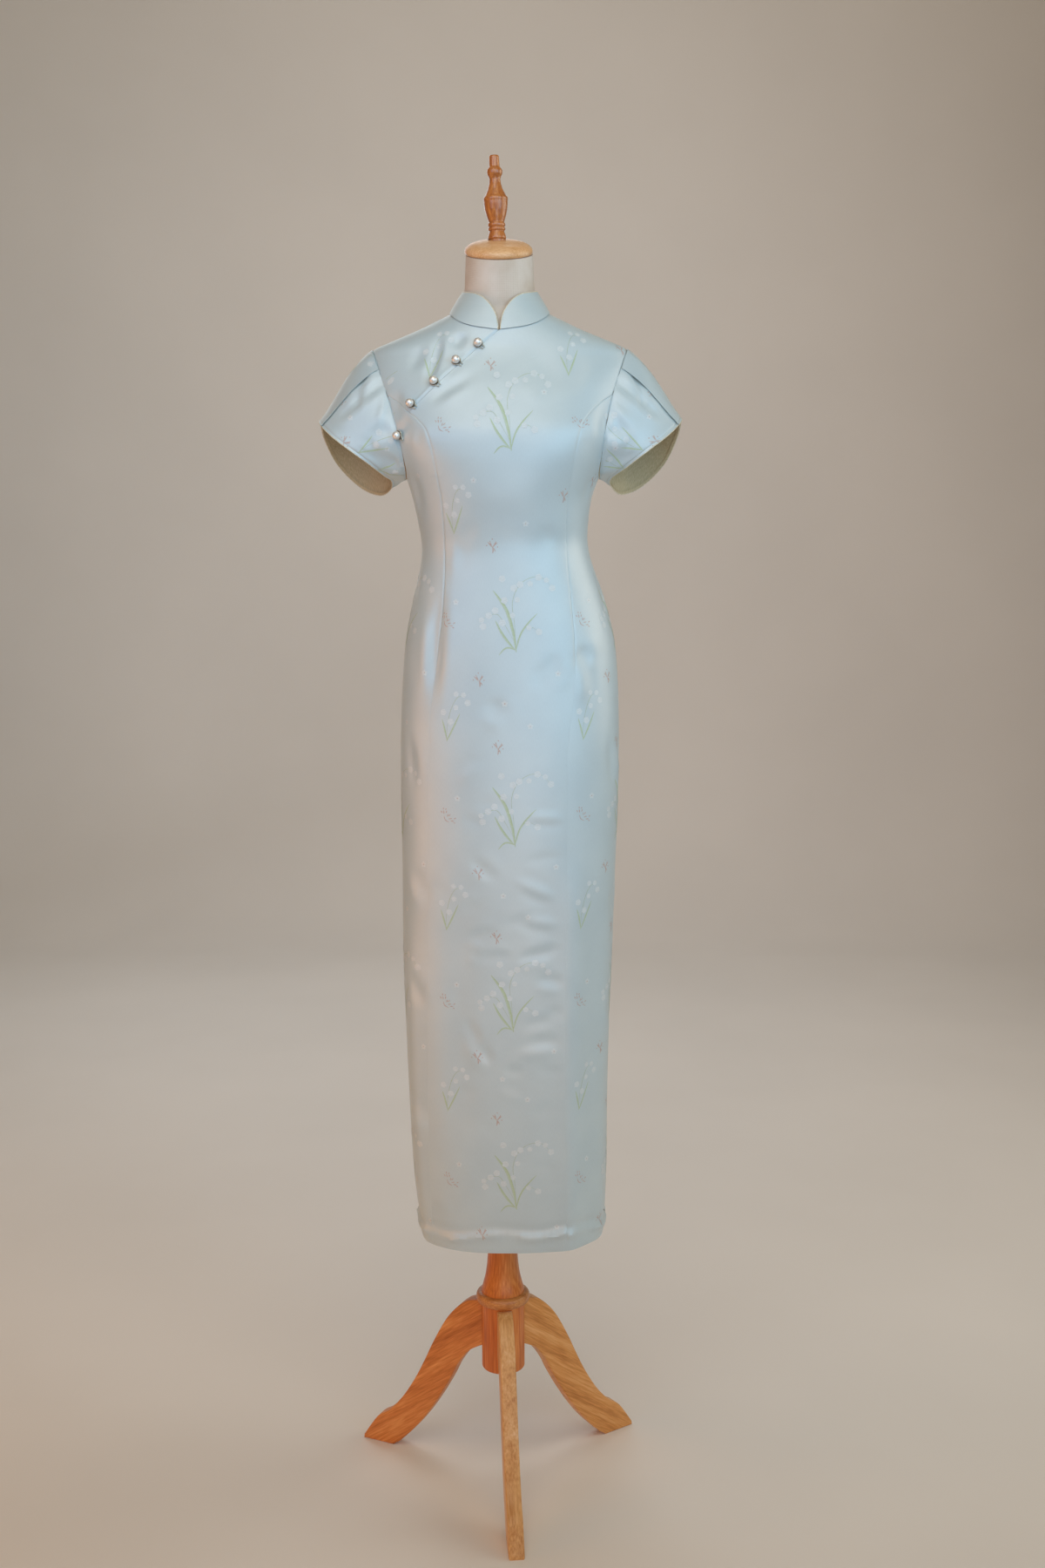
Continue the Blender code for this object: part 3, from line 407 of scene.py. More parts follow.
def crease_rise(points, strength):
    """How far the listed creases lift each point: a swell with a shallow dip on one side."""
    flat = points.reshape(-1, 3)
    rise = np.zeros(len(flat))
    for by_x, a, low, b, high, bow, width, out in CREASES:
        line, aside, outs = crease_line(by_x, a, low, b, high, bow)
        reach = CREASE_REACH * width
        near = np.all((flat > line.min(0) - reach) & (flat < line.max(0) + reach), axis=1)
        index = np.nonzero(near)[0]
        if len(index):
            off, travel = off_line(flat[index], line, aside, outs)
            fade = ease(travel / 0.4) * ease((1 - travel) / 0.4)
            size = width * (0.72 + 0.28 * fade)
            rise[index] += out * fade * (hump(off, size) - 0.42 * hump(off - 1.75 * size, 0.95 * size))
    return (rise * strength).reshape(points.shape[:-1])


def puckers(travel, distance, seed, reach=9.0):
    """Small uneven ripples that a seam draws up beside itself, by the travel along the seam."""
    pick = np.random.default_rng(seed)
    wave = np.zeros(np.shape(travel))
    for pitch in (9.5, 13.0, 21.0):
        phase, drift = pick.uniform(0, math.tau, 2)
        bend = 1.3 * np.sin(travel / (pitch * 7.3) + drift)
        swell = 0.5 + 0.5 * np.sin(travel / (pitch * 4.1) + drift)
        wave = wave + np.sin(math.tau * travel / pitch + phase + bend) * swell
    return wave * hump(distance, reach) / 2.2


# ---------------------------------------------------------------- meshes


def linked(name, mesh):
    made = bpy.data.objects.new(name, mesh)
    bpy.context.scene.collection.objects.link(made)
    return made


def new_object(name, points, faces, materials, finishes=None, uv=None, sharp=40):
    """Makes an object of points in millimetres, with a finish for each face and its UV in metres."""
    mesh = bpy.data.meshes.new(name)
    mesh.from_pydata(world(points).tolist(), [], [tuple(int(i) for i in face) for face in faces])
    for material in materials:
        mesh.materials.append(material)
    if finishes is not None:
        mesh.polygons.foreach_set("material_index", np.asarray(finishes, np.int32))
    if uv is not None:
        corners = np.empty(len(mesh.loops), np.int32)
        mesh.loops.foreach_get("vertex_index", corners)
        layer = mesh.uv_layers.new(name="UVMap")
        layer.data.foreach_set("uv", np.asarray(uv, np.float32)[corners].ravel())
    mesh.validate()
    mesh.update()
    mesh.shade_smooth()
    mesh.set_sharp_from_angle(angle=math.radians(sharp))
    return linked(name, mesh)


def finished(made, slot, *nodes):
    """Puts a finished piece on the one body and hides the solids that it stands for. The slot is not used.
    """
    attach(made, "root")
    if nodes:
        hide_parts(*nodes)
    return made


def lengths(points, axis):
    """Travel along a grid's rows (axis 1) or columns (axis 0)."""
    steps = np.linalg.norm(np.diff(points, axis=axis), axis=-1)
    start = np.zeros_like(np.take(steps, [0], axis=axis))
    return np.concatenate([start, np.cumsum(steps, axis=axis)], axis=axis)


DRAWN = {}  # the outer face and directions of each cloth piece, for what is sewn on it


def facing(faces, number, points, outward):
    """These faces, turned round if the one of this number doesn't look outward."""
    a, b, c = points[faces[number, :3]]
    return faces[:, ::-1] if np.cross(b - a, c - a) @ outward < 0 else faces


def cloth_shell(name, outer, out, thickness, materials, uv):
    """A closed shell: its outer face, its lining face and the rim between them."""
    DRAWN[name] = (outer, out)
    rows, columns = outer.shape[:2]
    size = rows * columns
    points = np.concatenate([outer.reshape(-1, 3), (outer - out * thickness).reshape(-1, 3)])
    index = np.arange(size).reshape(rows, columns)
    quads = np.stack([index[:-1, :-1], index[:-1, 1:], index[1:, 1:], index[1:, :-1]], -1).reshape(-1, 4)
    middle = len(quads) // 2 + columns // 3
    quads = facing(quads, middle, points, out.reshape(-1, 3)[quads[middle, 0]])
    rim = np.concatenate([index[0, :-1], index[:-1, -1], index[-1, :0:-1], index[:0:-1, 0]])
    after = np.roll(rim, -1)
    edge = np.stack([rim, after, after + size, rim + size], -1)
    edge = facing(edge, 5, points, points[edge[5, 0]] - points[index[rows // 2, columns // 2]])
    faces = np.concatenate([quads, quads[:, ::-1] + size, edge])
    finishes = np.repeat([0, 1, 0], [len(quads), len(quads), len(edge)])
    return new_object(name, points, faces, materials, finishes, np.concatenate([uv, uv]))


def spread_columns(width, count):
    """Shares across a row: evenly spread, with more of them where a seam rounds its edges."""
    near = np.array([0, 0.5, 1.2, 2.2, 3.5])
    scale = np.minimum(1.0, width / 18)[:, None] / width[:, None]
    low, high = near[None] * scale, 1 - near[None, ::-1] * scale
    middle = low[:, -1:] + (high[:, :1] - low[:, -1:]) * np.linspace(0, 1, count)[None, 1:-1]
    return np.concatenate([low, middle, high], axis=1)


def even_rows(start, start_height, end, end_height, count):
    """Turns and heights of rows whose columns are evenly spread along the cloth."""
    sample = np.linspace(0, 1, 161)[None]
    start, start_height, end, end_height = (
        np.asarray(x, float)[:, None] for x in (start, start_height, end, end_height)
    )
    turns = start + (end - start) * sample
    heights = start_height + (end_height - start_height) * sample
    travel = lengths(surface(turns, heights), 1)
    shares = spread_columns(travel[:, -1], count)
    picked = np.stack([np.interp(s * t[-1], t, sample[0]) for s, t in zip(shares, travel)])
    return start + (end - start) * picked, start_height + (end_height - start_height) * picked


# height, then how far the princess seam on the wearer's right and left draws in, as a share
SEAM_SHOWS = (
    (386, 0.14, 0.1), (1240, 0.2, 0.12), (1290, 1.0, 0.75), (1380, 1.0, 0.6), (1425, 0.85, 0.3),
    (1500, 0.85, 0.25), (1560, 0.75, 0.5), (1600, 0.9, 0.8), (1640, 0.9, 0.8),
)


def seam_draw(turn, height):
    """How far a seam draws the cloth in at a place on a panel's edge, as a share of the seam tuck."""
    rows = np.array(SEAM_SHOWS, float).T
    right, left = (np.interp(height, rows[0], row) for row in rows[1:])
    in_front = (np.abs(turn) < 75) & (height < JUNCTION)
    at_back = np.where(np.abs(turn) > 178, 0.45, 0.7)
    return np.where(in_front, np.where(turn < 0, right, left), at_back)


UNDER_BUST = 1465
DEEPEST_OVER_FORM, DEEPEST_BELOW_FORM = -2.3, -4.6


class Panel:
    """A panel of the dress: its places on the garment surface and the cloth drawn over them."""

    def __init__(self, name, node, turns, heights, seed, seams, sizes):
        self.name, self.node, self.seed, self.sizes = name, node, seed, sizes
        self.turns, self.heights = turns, heights
        points, self.out = surface(turns, heights), normal(turns, heights)
        across, up = lengths(points, 1), lengths(points, 0)
        rise = crease_rise(points, sizes.crease_strength)
        over_form = heights > FORM_BASE - 15
        rise = np.maximum(rise, np.where(over_form, DEEPEST_OVER_FORM, DEEPEST_BELOW_FORM))
        far = across[:, -1:] - across
        for column, distance, seam in ((0, across, seams[0]), (-1, far, seams[1])):
            rise = self.add_seam(rise, column, distance, up[:, column, None], seam)
        rise = rise + self.hem_rise(up, across)
        self.cloth = points + self.out * (CLOTH + rise)[..., None]
        for column, inner in ((0, 1), (-1, -2)):  # the seam's groove opens
            inward = unit(points[:, inner] - points[:, column])
            at_arm = (heights[:, column] > UNDERARM) & (np.abs(turns[:, column]) < 150)
            drawn = ease(seam_draw(turns[:, column], heights[:, column]) / 0.8)
            opened = 0.02 + np.where(at_arm, 0.04, 0.13) * drawn
            self.cloth[:, column] += inward * opened[:, None]
        for row, inner in ((0, 1), (-1, -2)):  # a row that runs to a point is drawn back
            if across[row, -1] < 8:
                self.cloth[row] = self.cloth[inner] + (self.cloth[row] - self.cloth[inner]) * 0.8
        self.uv = np.stack([across - across.mean(axis=1, keepdims=True), heights], -1) * 0.001

    def add_seam(self, rise, column, distance, travel, seam):
        """The rise with one edge's puckers, and with its tuck or the lap of the placket."""
        turn, height = self.turns[:, column, None], self.heights[:, column, None]
        drawn = seam_draw(turn, height)
        placket = (height > CORNER - 1) & (seam == "placket")
        depth = self.sizes.pucker_depth * (0.35 + drawn + 0.9 * hump(self.heights - UNDER_BUST, 42))
        ripples = puckers(travel, distance - 3, self.seed * 7 - column)
        rise = rise + depth * np.where(placket, 0.3, 1) * ripples
        sewn = -self.sizes.seam_tuck * drawn * (1 - ease(distance / 2.8))
        # the front laps over the yoke: its folded edge stands up, and the yoke dips under it
        if self.name == "silk_yoke_right":
            lapped = -0.85 * (1 - ease(distance / 4.5)) + 0.35 * hump(distance - 6, 2)
        else:
            lapped = 0.5 - 0.5 * ease(distance / 7) - 0.55 * (1 - ease(distance / 1.2))
        return rise + np.where(placket, lapped, sewn)

    def hem_rise(self, up, across):
        """The turned-up hem: a puckered line where it is caught down, and a rounded lower edge."""
        if up.shape[0] < 200:  # the yoke has no hem
            return 0.0
        seed = self.seed
        line = self.sizes.hem_depth + 3 * np.sin(across / 60 + seed)
        line = line - 9 + 4 * np.sin(across / 21 + 2 * seed)
        wave = puckers(across, np.abs(up - line), seed * 13 + 5, 8.0)
        uneven = 1 + 0.5 * np.sin(across / 19 + seed) + 0.35 * np.sin(across / 8.5 + 2 * seed)
        ridge = 2.7 * uneven * hump(up - line + 3, 6) - 2.0 * hump(up - line - 9, 7)
        lower = 0.5 * (1 - ease((up - line) / 6 + 0.5)) - 0.6 * (1 - ease(up / 2.4))
        return ridge + 0.5 * wave + lower

    def build(self, materials):
        uv = self.uv.reshape(-1, 2)
        made = cloth_shell(self.name, self.cloth, self.out, self.sizes.shell, materials, uv)
        return finished(made, "silk_satin_brocade", self.node)


# heights up the outer edge of an upper front, from its corner to the neck point
OUTER_HEIGHTS = (1615, 1629, 1640, 1658, 1676, 1692, 1705, 1718, 1731, 1744, 1755)


def upper_edge(step, side):
    """Places up the outer edge of an upper front, for steps from the corner (0) to the neck point (10)."""
    height = np.interp(step, range(11), OUTER_HEIGHTS)
    turn = np.where(height < JUNCTION, princess_turn(height, side), armhole_turn(height, side))
    return np.where(height >= SHOULDER_TIP, side * 90.0, turn), height


def steps_up():
    near_tip = 6 - np.linspace(1, 0, 7)[1:] ** 2
    return np.concatenate([np.linspace(0, 5, 21), near_tip, np.linspace(6, 10, 21)[1:]])


def up_to_tip():
    """Heights that lie closer and closer below the shoulder tip."""
    return (SHOULDER_TIP - (SHOULDER_TIP - ARM_HIGH) * np.linspace(1, 0, 7) ** 2)[1:]


def with_neckline(turns, heights, weight, start, end):
    """Draws the last rows of a panel over to the neckline."""
    across = lengths(surface(turns[-1:], heights[-1:]), 1)[0]
    neck_turn, neck_height = neck_place(start + (end - start) * across / across[-1])
    weight = weight[:, None]
    return (
        turns + weight * (neck_turn[None] - turns[-1:]),
        heights + weight * (neck_height[None] - heights[-1:]),
    )


def body_heights(top):
    rounded = UNDERARM + (ARM_LOW - UNDERARM) * np.linspace(0, 1, 7)[1:] ** 2
    above = np.linspace(ARM_LOW, top, int((top - ARM_LOW) / 4.5) + 1)[1:]
    return np.concatenate([np.linspace(HEM, UNDERARM, 255), rounded, above])


def front_panel(sizes):
    heights = body_heights(CORNER)
    low = even_rows(princess_turn(heights, -1), heights, princess_turn(heights, 1), heights, 72)
    steps = steps_up()[1:]
    start, start_height = placket_place(steps / 10)
    end, end_height = upper_edge(steps, 1)
    high = even_rows(start, start_height, end, end_height, 72)
    high = with_neckline(*high, ease((steps - 6.5) / 3.5), 0, 90)
    turns, heights = (np.concatenate(pair) for pair in zip(low, high))
    return Panel("silk_front_panel", "front_panel", turns, heights, 11, ("placket", "sewn"), sizes)


def front_yoke(sizes):
    steps = steps_up()
    start, start_height = upper_edge(steps, -1)
    end, end_height = placket_place(steps / 10)
    end[0], end_height[0] = start[0] + 0.35, start_height[0] + 0.4
    turns, heights = even_rows(start, start_height, end, end_height, 44)
    turns, heights = with_neckline(turns, heights, ease((steps - 6.5) / 3.5), -90, 0)
    return Panel("silk_yoke_right", "front_yoke_right", turns, heights, 23, ("sewn", "placket"), sizes)


def side_front(name, node, side, seed, sizes):
    heights = body_heights(JUNCTION)
    seam = princess_turn(heights, side)
    edge = edge_turn(heights, side)
    edge[-1] = seam[-1] + side * 0.3
    turns, heights = even_rows(seam, heights, edge, heights, 34)
    return Panel(name, node, turns, heights, seed, ("sewn", "sewn"), sizes)


def back_half(name, node, side, seed, sizes):
    shoulder = np.linspace(SHOULDER_TIP, NECK_POINT, 16)[1:]
    heights = np.concatenate([body_heights(ARM_HIGH), up_to_tip(), shoulder])
    edge = edge_turn(heights, side, True)
    turns, heights = even_rows(edge, heights, 180 + 0 * heights, heights, 62)
    weight = ease((heights[:, 0] - 1718) / (NECK_POINT - 1718))
    turns, heights = with_neckline(turns, heights, weight, 180 - side * 90, 180)
    return Panel(name, node, turns, heights, seed, ("sewn", "sewn"), sizes)


# ---------------------------------------------------------------- collar and sleeves


def collar_grid(turns, rows):
    around = np.minimum(turns, 360 - turns)
    foot_turn, foot_height = neck_place(np.where(turns <= 180, turns, turns - 360))
    foot = surface(foot_turn, foot_height) + normal(foot_turn, foot_height) * (CLOTH + SEAM)
    out = np.stack([np.sin(np.radians(turns)), -np.cos(np.radians(turns)), 0 * turns], -1)
    across, depth = MIDDLE_X + COLLAR_HALF_AT(around) * out[:, 0], COLLAR_DEPTH_AT(around) * out[:, 1]
    head = np.stack([across, depth, COLLAR_HEIGHT_AT(around)], -1)
    share = COLLAR_EDGE_AT(around)[None, :, None] * np.linspace(0, 1, rows)[:, None, None]
    points = foot[None] + (head - foot)[None] * share
    normals = unit(out + np.array([0, 0, COLLAR_FLARE]))
    return points, np.broadcast_to(normals, points.shape)


def armhole_loop(side):
    """Sleeve-head points from the front underarm over the tip to the back underarm."""
    low = UNDERARM + (ARM_LOW - UNDERARM) * np.linspace(0, 1, 6) ** 2
    front = np.concatenate([low, np.linspace(ARM_LOW, ARM_HIGH, 30)[1:], up_to_tip()])
    turn = np.concatenate([armhole_turn(front, side), armhole_turn(front[:-1], side, True)[::-1]])
    height = np.concatenate([front, front[-2::-1]])
    points, out = surface(turn, height), normal(turn, height)
    travel = lengths(points, 0)
    turns = 180 - 360 * travel / travel[-1]
    hole = np.array([side * SLEEVE_MIDDLE[0], *SLEEVE_MIDDLE[1:]])
    away = unit(np.cross(np.gradient(points, axis=0), out))
    away *= np.sign(np.sum(away * (hole - points), axis=1))[:, None]
    over = ease((np.abs(turns) - TUCK_START) / TUCK_RUN)[:, None]
    return points + away * SEAM + out * (CLOTH + SEAM) * over, out, turns, height


def hem_point(turn, side):
    around = np.asarray(turn, float) % 360
    across = MIDDLE_X + side * HEM_OUT_AT(around)
    return np.stack([across, HEM_DEPTH_AT(around), HEM_HEIGHT_AT(around)], -1)


def petal_grid(side, behind):
    """Points, directions, turns and shares of a petal, from its underarm seam to its lap."""
    heads, out, turns, height = armhole_loop(side)
    tip = len(heads) // 2
    order = np.arange(tip + int(np.argmin(np.abs(height[tip:] - PETAL_LAP))) + 1)
    if behind:
        order = len(heads) - 1 - order
    axis = (hem_point(0, side) + hem_point(180, side)) / 2
    near_hem = 0.9 + 0.1 * np.sin(np.linspace(0, np.pi / 2, 15)[1:])
    share = np.concatenate([np.linspace(0, 0.9, 37), near_hem])[:, None, None]
    hem = hem_point(turns[order], side)
    swell = SLEEVE_CAP * (1 + np.cos(np.radians(turns[order]))) / 2
    # share * (1 - share)² peaks at 4 / 27
    bulge = unit(hem - axis)[None] * swell[None, :, None] * 27 / 4 * share * (1 - share) ** 2
    points = heads[order][None] + (hem - heads[order])[None] * share + bulge
    normals = unit(np.cross(np.gradient(points, axis=0), np.gradient(points, axis=1)))
    middle = (heads[0] + heads[tip]) / 2
    centre = middle + (axis - middle) * share
    normals *= np.sign(np.sum(normals * (points - centre), axis=-1))[..., None]
    own = ease(share / 0.167)
    normals = unit(out[order][None] * (1 - own) + normals * own)
    if behind:
        # station numbers of the coarse rows, so that the lap rises where the solid's does
        coarse = np.interp(height[order], (1590, 1615, 1629, 1640, 1658, 1676), (7, 6, 5, 4, 3, 2))
        past = np.where(order > tip, coarse, 0)
        points = points + normals * ((PETAL + 0.4) * (1 - ease((past - 3) / 4)))[None, :, None]
    around = np.broadcast_to(turns[order][None], points.shape[:2])
    return points, normals, around, share[..., 0] + 0 * turns[order][None]


# turn and share of the way down the sleeve of each end of a petal's crease, then its width and rise
PETAL_CREASES = (
    (20, 0.05, 62, 0.6, 11, -2.2), (36, 0.0, 54, 0.5, 8, 1.6), (86, 0.1, 104, 0.8, 11, -2.4),
    (118, 0.0, 92, 0.65, 10, 1.8), (130, 0.15, 112, 0.95, 11, -2.6), (60, 0.4, 34, 0.66, 11, 1.5),
    (46, 0.78, 78, 0.62, 10, -1.3), (150, 0.1, 138, 0.85, 9, 2.0), (8, 0.25, 20, 0.85, 10, 1.2),
    (74, 0.0, 80, 0.4, 6, 1.3), (100, 0.0, 100, 0.35, 6, -1.3), (-4, 0.0, -2, 0.45, 6, -1.0),
)


def petal_rise(points, turns, share, side, behind, strength):
    """Creases that run out from the sleeve head, slack near the hem, and the shade under the lap."""
    rise = np.zeros(turns.shape)
    around = lengths(points, 1)
    sign = -1 if behind else 1
    rising = slice(None, None, 1 if turns[0, 0] < turns[0, -1] else -1)
    lap = abs(float(turns[0, -1]))
    shade = ((lap + 8, -0.2, lap + 4, 0.8, 7, -2.3), (lap + 21, -0.2, lap + 10, 0.85, 6, 1.3))
    creases = PETAL_CREASES if behind else (*PETAL_CREASES, *shade)
    for number, (start, low, end, high, width, out) in enumerate(creases):
        if side < 0 and number < len(PETAL_CREASES):  # the two sleeves don't match
            start, end = start + 7 * (-1) ** number, end - 6 * (-1) ** number
            out *= 0.75 + 0.5 * (number % 2)
        t = np.clip((share - low) / (high - low), 0, 1)
        middle = sign * (start + (end - start) * t[:, 0])
        place = [np.interp(m, turns[0, rising], a[rising]) for m, a in zip(middle, around)]
        fade = ease((share - low) / 0.18 + 0.25 * (low == 0)) * ease((high - share) / 0.2)
        off = (around - np.array(place)[:, None]) / width
        rise = rise + out * fade * (hump(off, 1) - 0.4 * hump(off - 1.7, 0.9))
    rise = rise + 0.8 * np.sin(np.radians(turns * 3.3) + side) * ease(share / 0.8)
    return strength * rise * (1 - ease((np.abs(turns) - 160) / 14))


# ---------------------------------------------------------------- finishes


def linear(colour):
    """An sRGB hex colour as linear red, green, blue and alpha. A colour from the panel is linear."""
    if not isinstance(colour, str):
        return tuple(colour)
    values = [int(colour[k : k + 2], 16) / 255 for k in (1, 3, 5)]
    return (*(v / 12.92 if v <= 0.04045 else ((v + 0.055) / 1.055) ** 2.4 for v in values), 1.0)


def add(tree, kind, settings=None, inputs=None):
    """Adds a node with its settings, and its inputs by name or number as values or links."""
    made = tree.nodes.new(kind)
    for name, value in (settings or {}).items():
        setattr(made, name, value)
    for key, value in (inputs or {}).items():
        if isinstance(value, bpy.types.NodeSocket):
            tree.links.new(value, made.inputs[key])
        else:
            made.inputs[key].default_value = value
    return made


class Finish:
    """A material with its node tree and shader, and the few nodes that the finishes below share."""

    def __init__(self, name, **shader_values):
        self.material = bpy.data.materials.new(name)
        self.material.use_nodes = True
        self.tree = self.material.node_tree
        self.shader = self.tree.nodes["Principled BSDF"]
        for key, value in shader_values.items():
            self.shader.inputs[key.replace("_", " ")].default_value = value

    def give(self, key, socket):
        self.tree.links.new(socket, self.shader.inputs[key])

    def object_place(self):
        return add(self.tree, "ShaderNodeTexCoord").outputs["Object"]

    def cloth_place(self):
        return add(self.tree, "ShaderNodeUVMap", {"uv_map": "UVMap"}).outputs["UV"]

    def stretched(self, place, scale, rotation=(0, 0, 0), kind="POINT"):
        values = {"Vector": place, "Scale": scale, "Rotation": rotation}
        return add(self.tree, "ShaderNodeMapping", {"vector_type": kind}, values).outputs[0]

    def noise(self, place, scale=1.0, detail=2.0, **more):
        values = {"Vector": place, "Scale": scale, "Detail": detail, **more}
        return add(self.tree, "ShaderNodeTexNoise", None, values).outputs["Fac"]

    def ramp(self, factor, *stops):
        """Colours along a factor, as (place, hex) stops."""
        made = add(self.tree, "ShaderNodeValToRGB", None, {"Fac": factor})
        while len(made.color_ramp.elements) < len(stops):
            made.color_ramp.elements.new(0.5)
        for element, (place, colour) in zip(made.color_ramp.elements, stops):
            element.position = place
            element.color = linear(colour)
        return made.outputs["Color"]

    def spread(self, factor, low, high):
        """The middle of a noise, 0.3 to 0.7, spread from low to high."""
        values = {"Value": factor, 1: 0.3, 2: 0.7, 3: low, 4: high}
        return add(self.tree, "ShaderNodeMapRange", None, values).outputs[0]

    def flecked(self, colour, factor, low, high):
        """A colour made darker and lighter by a noise."""
        settings = {"data_type": "RGBA", "blend_type": "MULTIPLY"}
        values = {0: 1.0, 6: colour, 7: self.spread(factor, low, high)}
        return add(self.tree, "ShaderNodeMix", settings, values).outputs[2]

    def bump(self, height, strength, distance=0.0004):
        values = {"Height": height, "Strength": strength, "Distance": distance}
        self.give("Normal", add(self.tree, "ShaderNodeBump", None, values).outputs[0])


def silk_satin_brocade(name, face, shade, gloss=0.4):
    """Silk satin woven on a jacquard loom. Its long warp floats lie side by side, so it glows softly
    where it faces the light and turns dull in its hollows."""
    made = Finish(
        name, Metallic=0.0, IOR=1.65, Sheen_Weight=0.12, Sheen_Roughness=0.4, Anisotropic=0.3,
        Sheen_Tint=linear("#EEF2F2"), Specular_IOR_Level=1.0,
        Coat_Weight=0.3, Coat_Roughness=0.42, Coat_IOR=1.5,
    )
    place = made.cloth_place()
    # faint unevenness of dye, about 60 mm across
    cloudy = made.noise(place, 16.0, 2.0, Roughness=0.5)
    # floats drawn 0.9 mm wide and 5 mm long, coarser than real ones (0.1 mm) so that they show
    floats = made.noise(made.stretched(place, (1100.0, 190.0, 1.0)))
    colour = made.ramp(cloudy, (0.30, shade), (0.68, face))
    made.give("Base Color", made.flecked(colour, floats, 0.975, 1.015))
    made.give("Roughness", made.spread(floats, gloss + 0.05, gloss - 0.05))
    made.bump(floats, 0.12)
    return made.material


def lining_side_and_painted_shade(name, face, shade):
    """The back of the brocade: the weft floats lie there, so it is matt, with soft flecks. Its warm beige is
    partly painted shade, the brown-gold that the sleeves' insides take in shadow.
    """
    made = Finish(name, Metallic=0.0, IOR=1.5, Sheen_Weight=0.1, Roughness=0.7)
    floats = made.noise(made.stretched(made.cloth_place(), (240.0, 900.0, 1.0)))
    # warm beige ramp of the back face: partly painted shade
    made.give("Base Color", made.ramp(floats, (0.3, shade), (0.7, face)))
    made.bump(floats, 0.2, 0.0005)
    return made.material


def woven_figure(name, face, shade, gloss=0.4):
    """Coloured weft brought to the face for the figures. Its floats run across the cloth's own."""
    made = Finish(name, Metallic=0.0, IOR=1.5, Sheen_Weight=0.15)
    floats = made.noise(made.stretched(made.object_place(), (260.0, 260.0, 1200.0)), 1.0, 1.0)
    made.give("Base Color", made.ramp(floats, (0.32, shade), (0.66, face)))
    made.give("Roughness", made.spread(floats, gloss + 0.1, gloss))
    return made.material


def piping_cord(name, face, shade):
    """Bias-cut satin over cord: the cut runs slantwise, so its floats spiral round the piping."""
    made = Finish(name, Metallic=0.0, IOR=1.5, Sheen_Weight=0.2, Roughness=0.42)
    place = made.stretched(made.object_place(), (300.0, 900.0, 500.0), (0.6, 0.0, 0.8))
    twist = made.noise(place, 1.0, 1.0)
    made.give("Base Color", made.ramp(twist, (0.3, shade), (0.68, face)))
    made.bump(twist, 0.25)
    return made.material


def pearl_coating(name, face, shade):
    """Imitation pearl: a bead dipped in nacre lacquer, under a hard clear skin. Its colour is a painted
    sheen
    and shade: lightest where it faces the view, faintly pink and green further out, darker at its rim."""
    made = Finish(
        name, Metallic=0.45, IOR=1.6, Roughness=0.16,
        Coat_Weight=0.9, Coat_Roughness=0.05, Coat_IOR=1.55,
    )
    # painted sheen and shade: the colour runs from light where the bead faces the view to darker at its rim
    rim = add(made.tree, "ShaderNodeLayerWeight", None, {"Blend": 0.42}).outputs["Facing"]
    tone = made.ramp(rim, (0.0, face), (0.45, "#E4DDD6"), (0.75, "#C9CDC8"), (1.0, shade))
    cloud = made.noise(made.object_place(), 190.0)
    made.give("Base Color", made.flecked(tone, cloud, 0.94, 1.03))
    return made.material


def gilt_brass(name, face, shade):
    """Pressed brass with a thin gilt: bright on its edge, browner where the pearl shades it."""
    made = Finish(name, Metallic=1.0)
    worn = made.noise(made.object_place(), 420.0, 3.0)
    made.give("Base Color", made.ramp(worn, (0.35, shade), (0.65, face)))
    made.give("Roughness", made.spread(worn, 0.38, 0.22))
    return made.material


def linen_cover(name, face, shade):
    """Plain-woven linen glued over papier-mache: matt, off-white and faintly slubbed."""
    made = Finish(name, Metallic=0.0, IOR=1.45, Sheen_Weight=0.12, Roughness=0.86)
    place = made.object_place()
    # threads drawn 1.6 mm apart, coarser than real ones (0.5 mm) so that they show
    values = {"Vector": place, "Scale": 100.0, "Distortion": 1.4, "Detail": 2.0}
    warp, weft = (
        add(made.tree, "ShaderNodeTexWave", {"bands_direction": axis}, values).outputs["Fac"]
        for axis in "XZ"
    )
    weave = add(made.tree, "ShaderNodeMath", {"operation": "ADD"}, {0: warp, 1: weft})
    cloud = made.noise(place, 22.0, 4.0)
    made.give("Base Color", made.ramp(cloud, (0.3, shade), (0.7, face)))
    made.bump(weave.outputs[0], 0.25)
    return made.material


def varnished_wood(name, light, middle, dark, grain, gloss, streak=0.5, coat=0.35, turn=(0.0, 0.0, 0.0)):
    """Varnished wood. Growth rings show as long streaks along the grain, with finer pores in them,
    under a clear skin that gives an even soft gloss."""
    made = Finish(name, Metallic=0.0, IOR=1.48, Coat_Weight=coat, Coat_Roughness=0.22)
    along = made.stretched(made.object_place(), (1, 1, 1), turn, "TEXTURE")
    rings = made.noise(made.stretched(along, grain), 3.2, 5.0, Roughness=0.62, Distortion=0.5)
    pores = made.noise(made.stretched(along, tuple(9 * g for g in grain)), 3.2, 3.0)
    values = {0: streak, 2: rings, 3: pores}
    both = add(made.tree, "ShaderNodeMix", {"data_type": "FLOAT"}, values).outputs[0]
    made.give("Base Color", made.ramp(both, (0.32, dark), (0.5, middle), (0.66, light)))
    made.give("Roughness", made.spread(pores, gloss + 0.12, gloss))
    made.bump(pores, 0.12)
    return made.material


def painted_plaster(name, face, shade):
    """Matt paint on plaster for the floor and backdrop: even, with a faint soft mottle."""
    made = Finish(name, Metallic=0.0, IOR=1.45, Roughness=0.85)
    cloud = made.noise(made.object_place(), 1.3, 3.0)
    made.give("Base Color", made.ramp(cloud, (0.3, shade), (0.7, face)))
    return made.material


FINISHES = {}
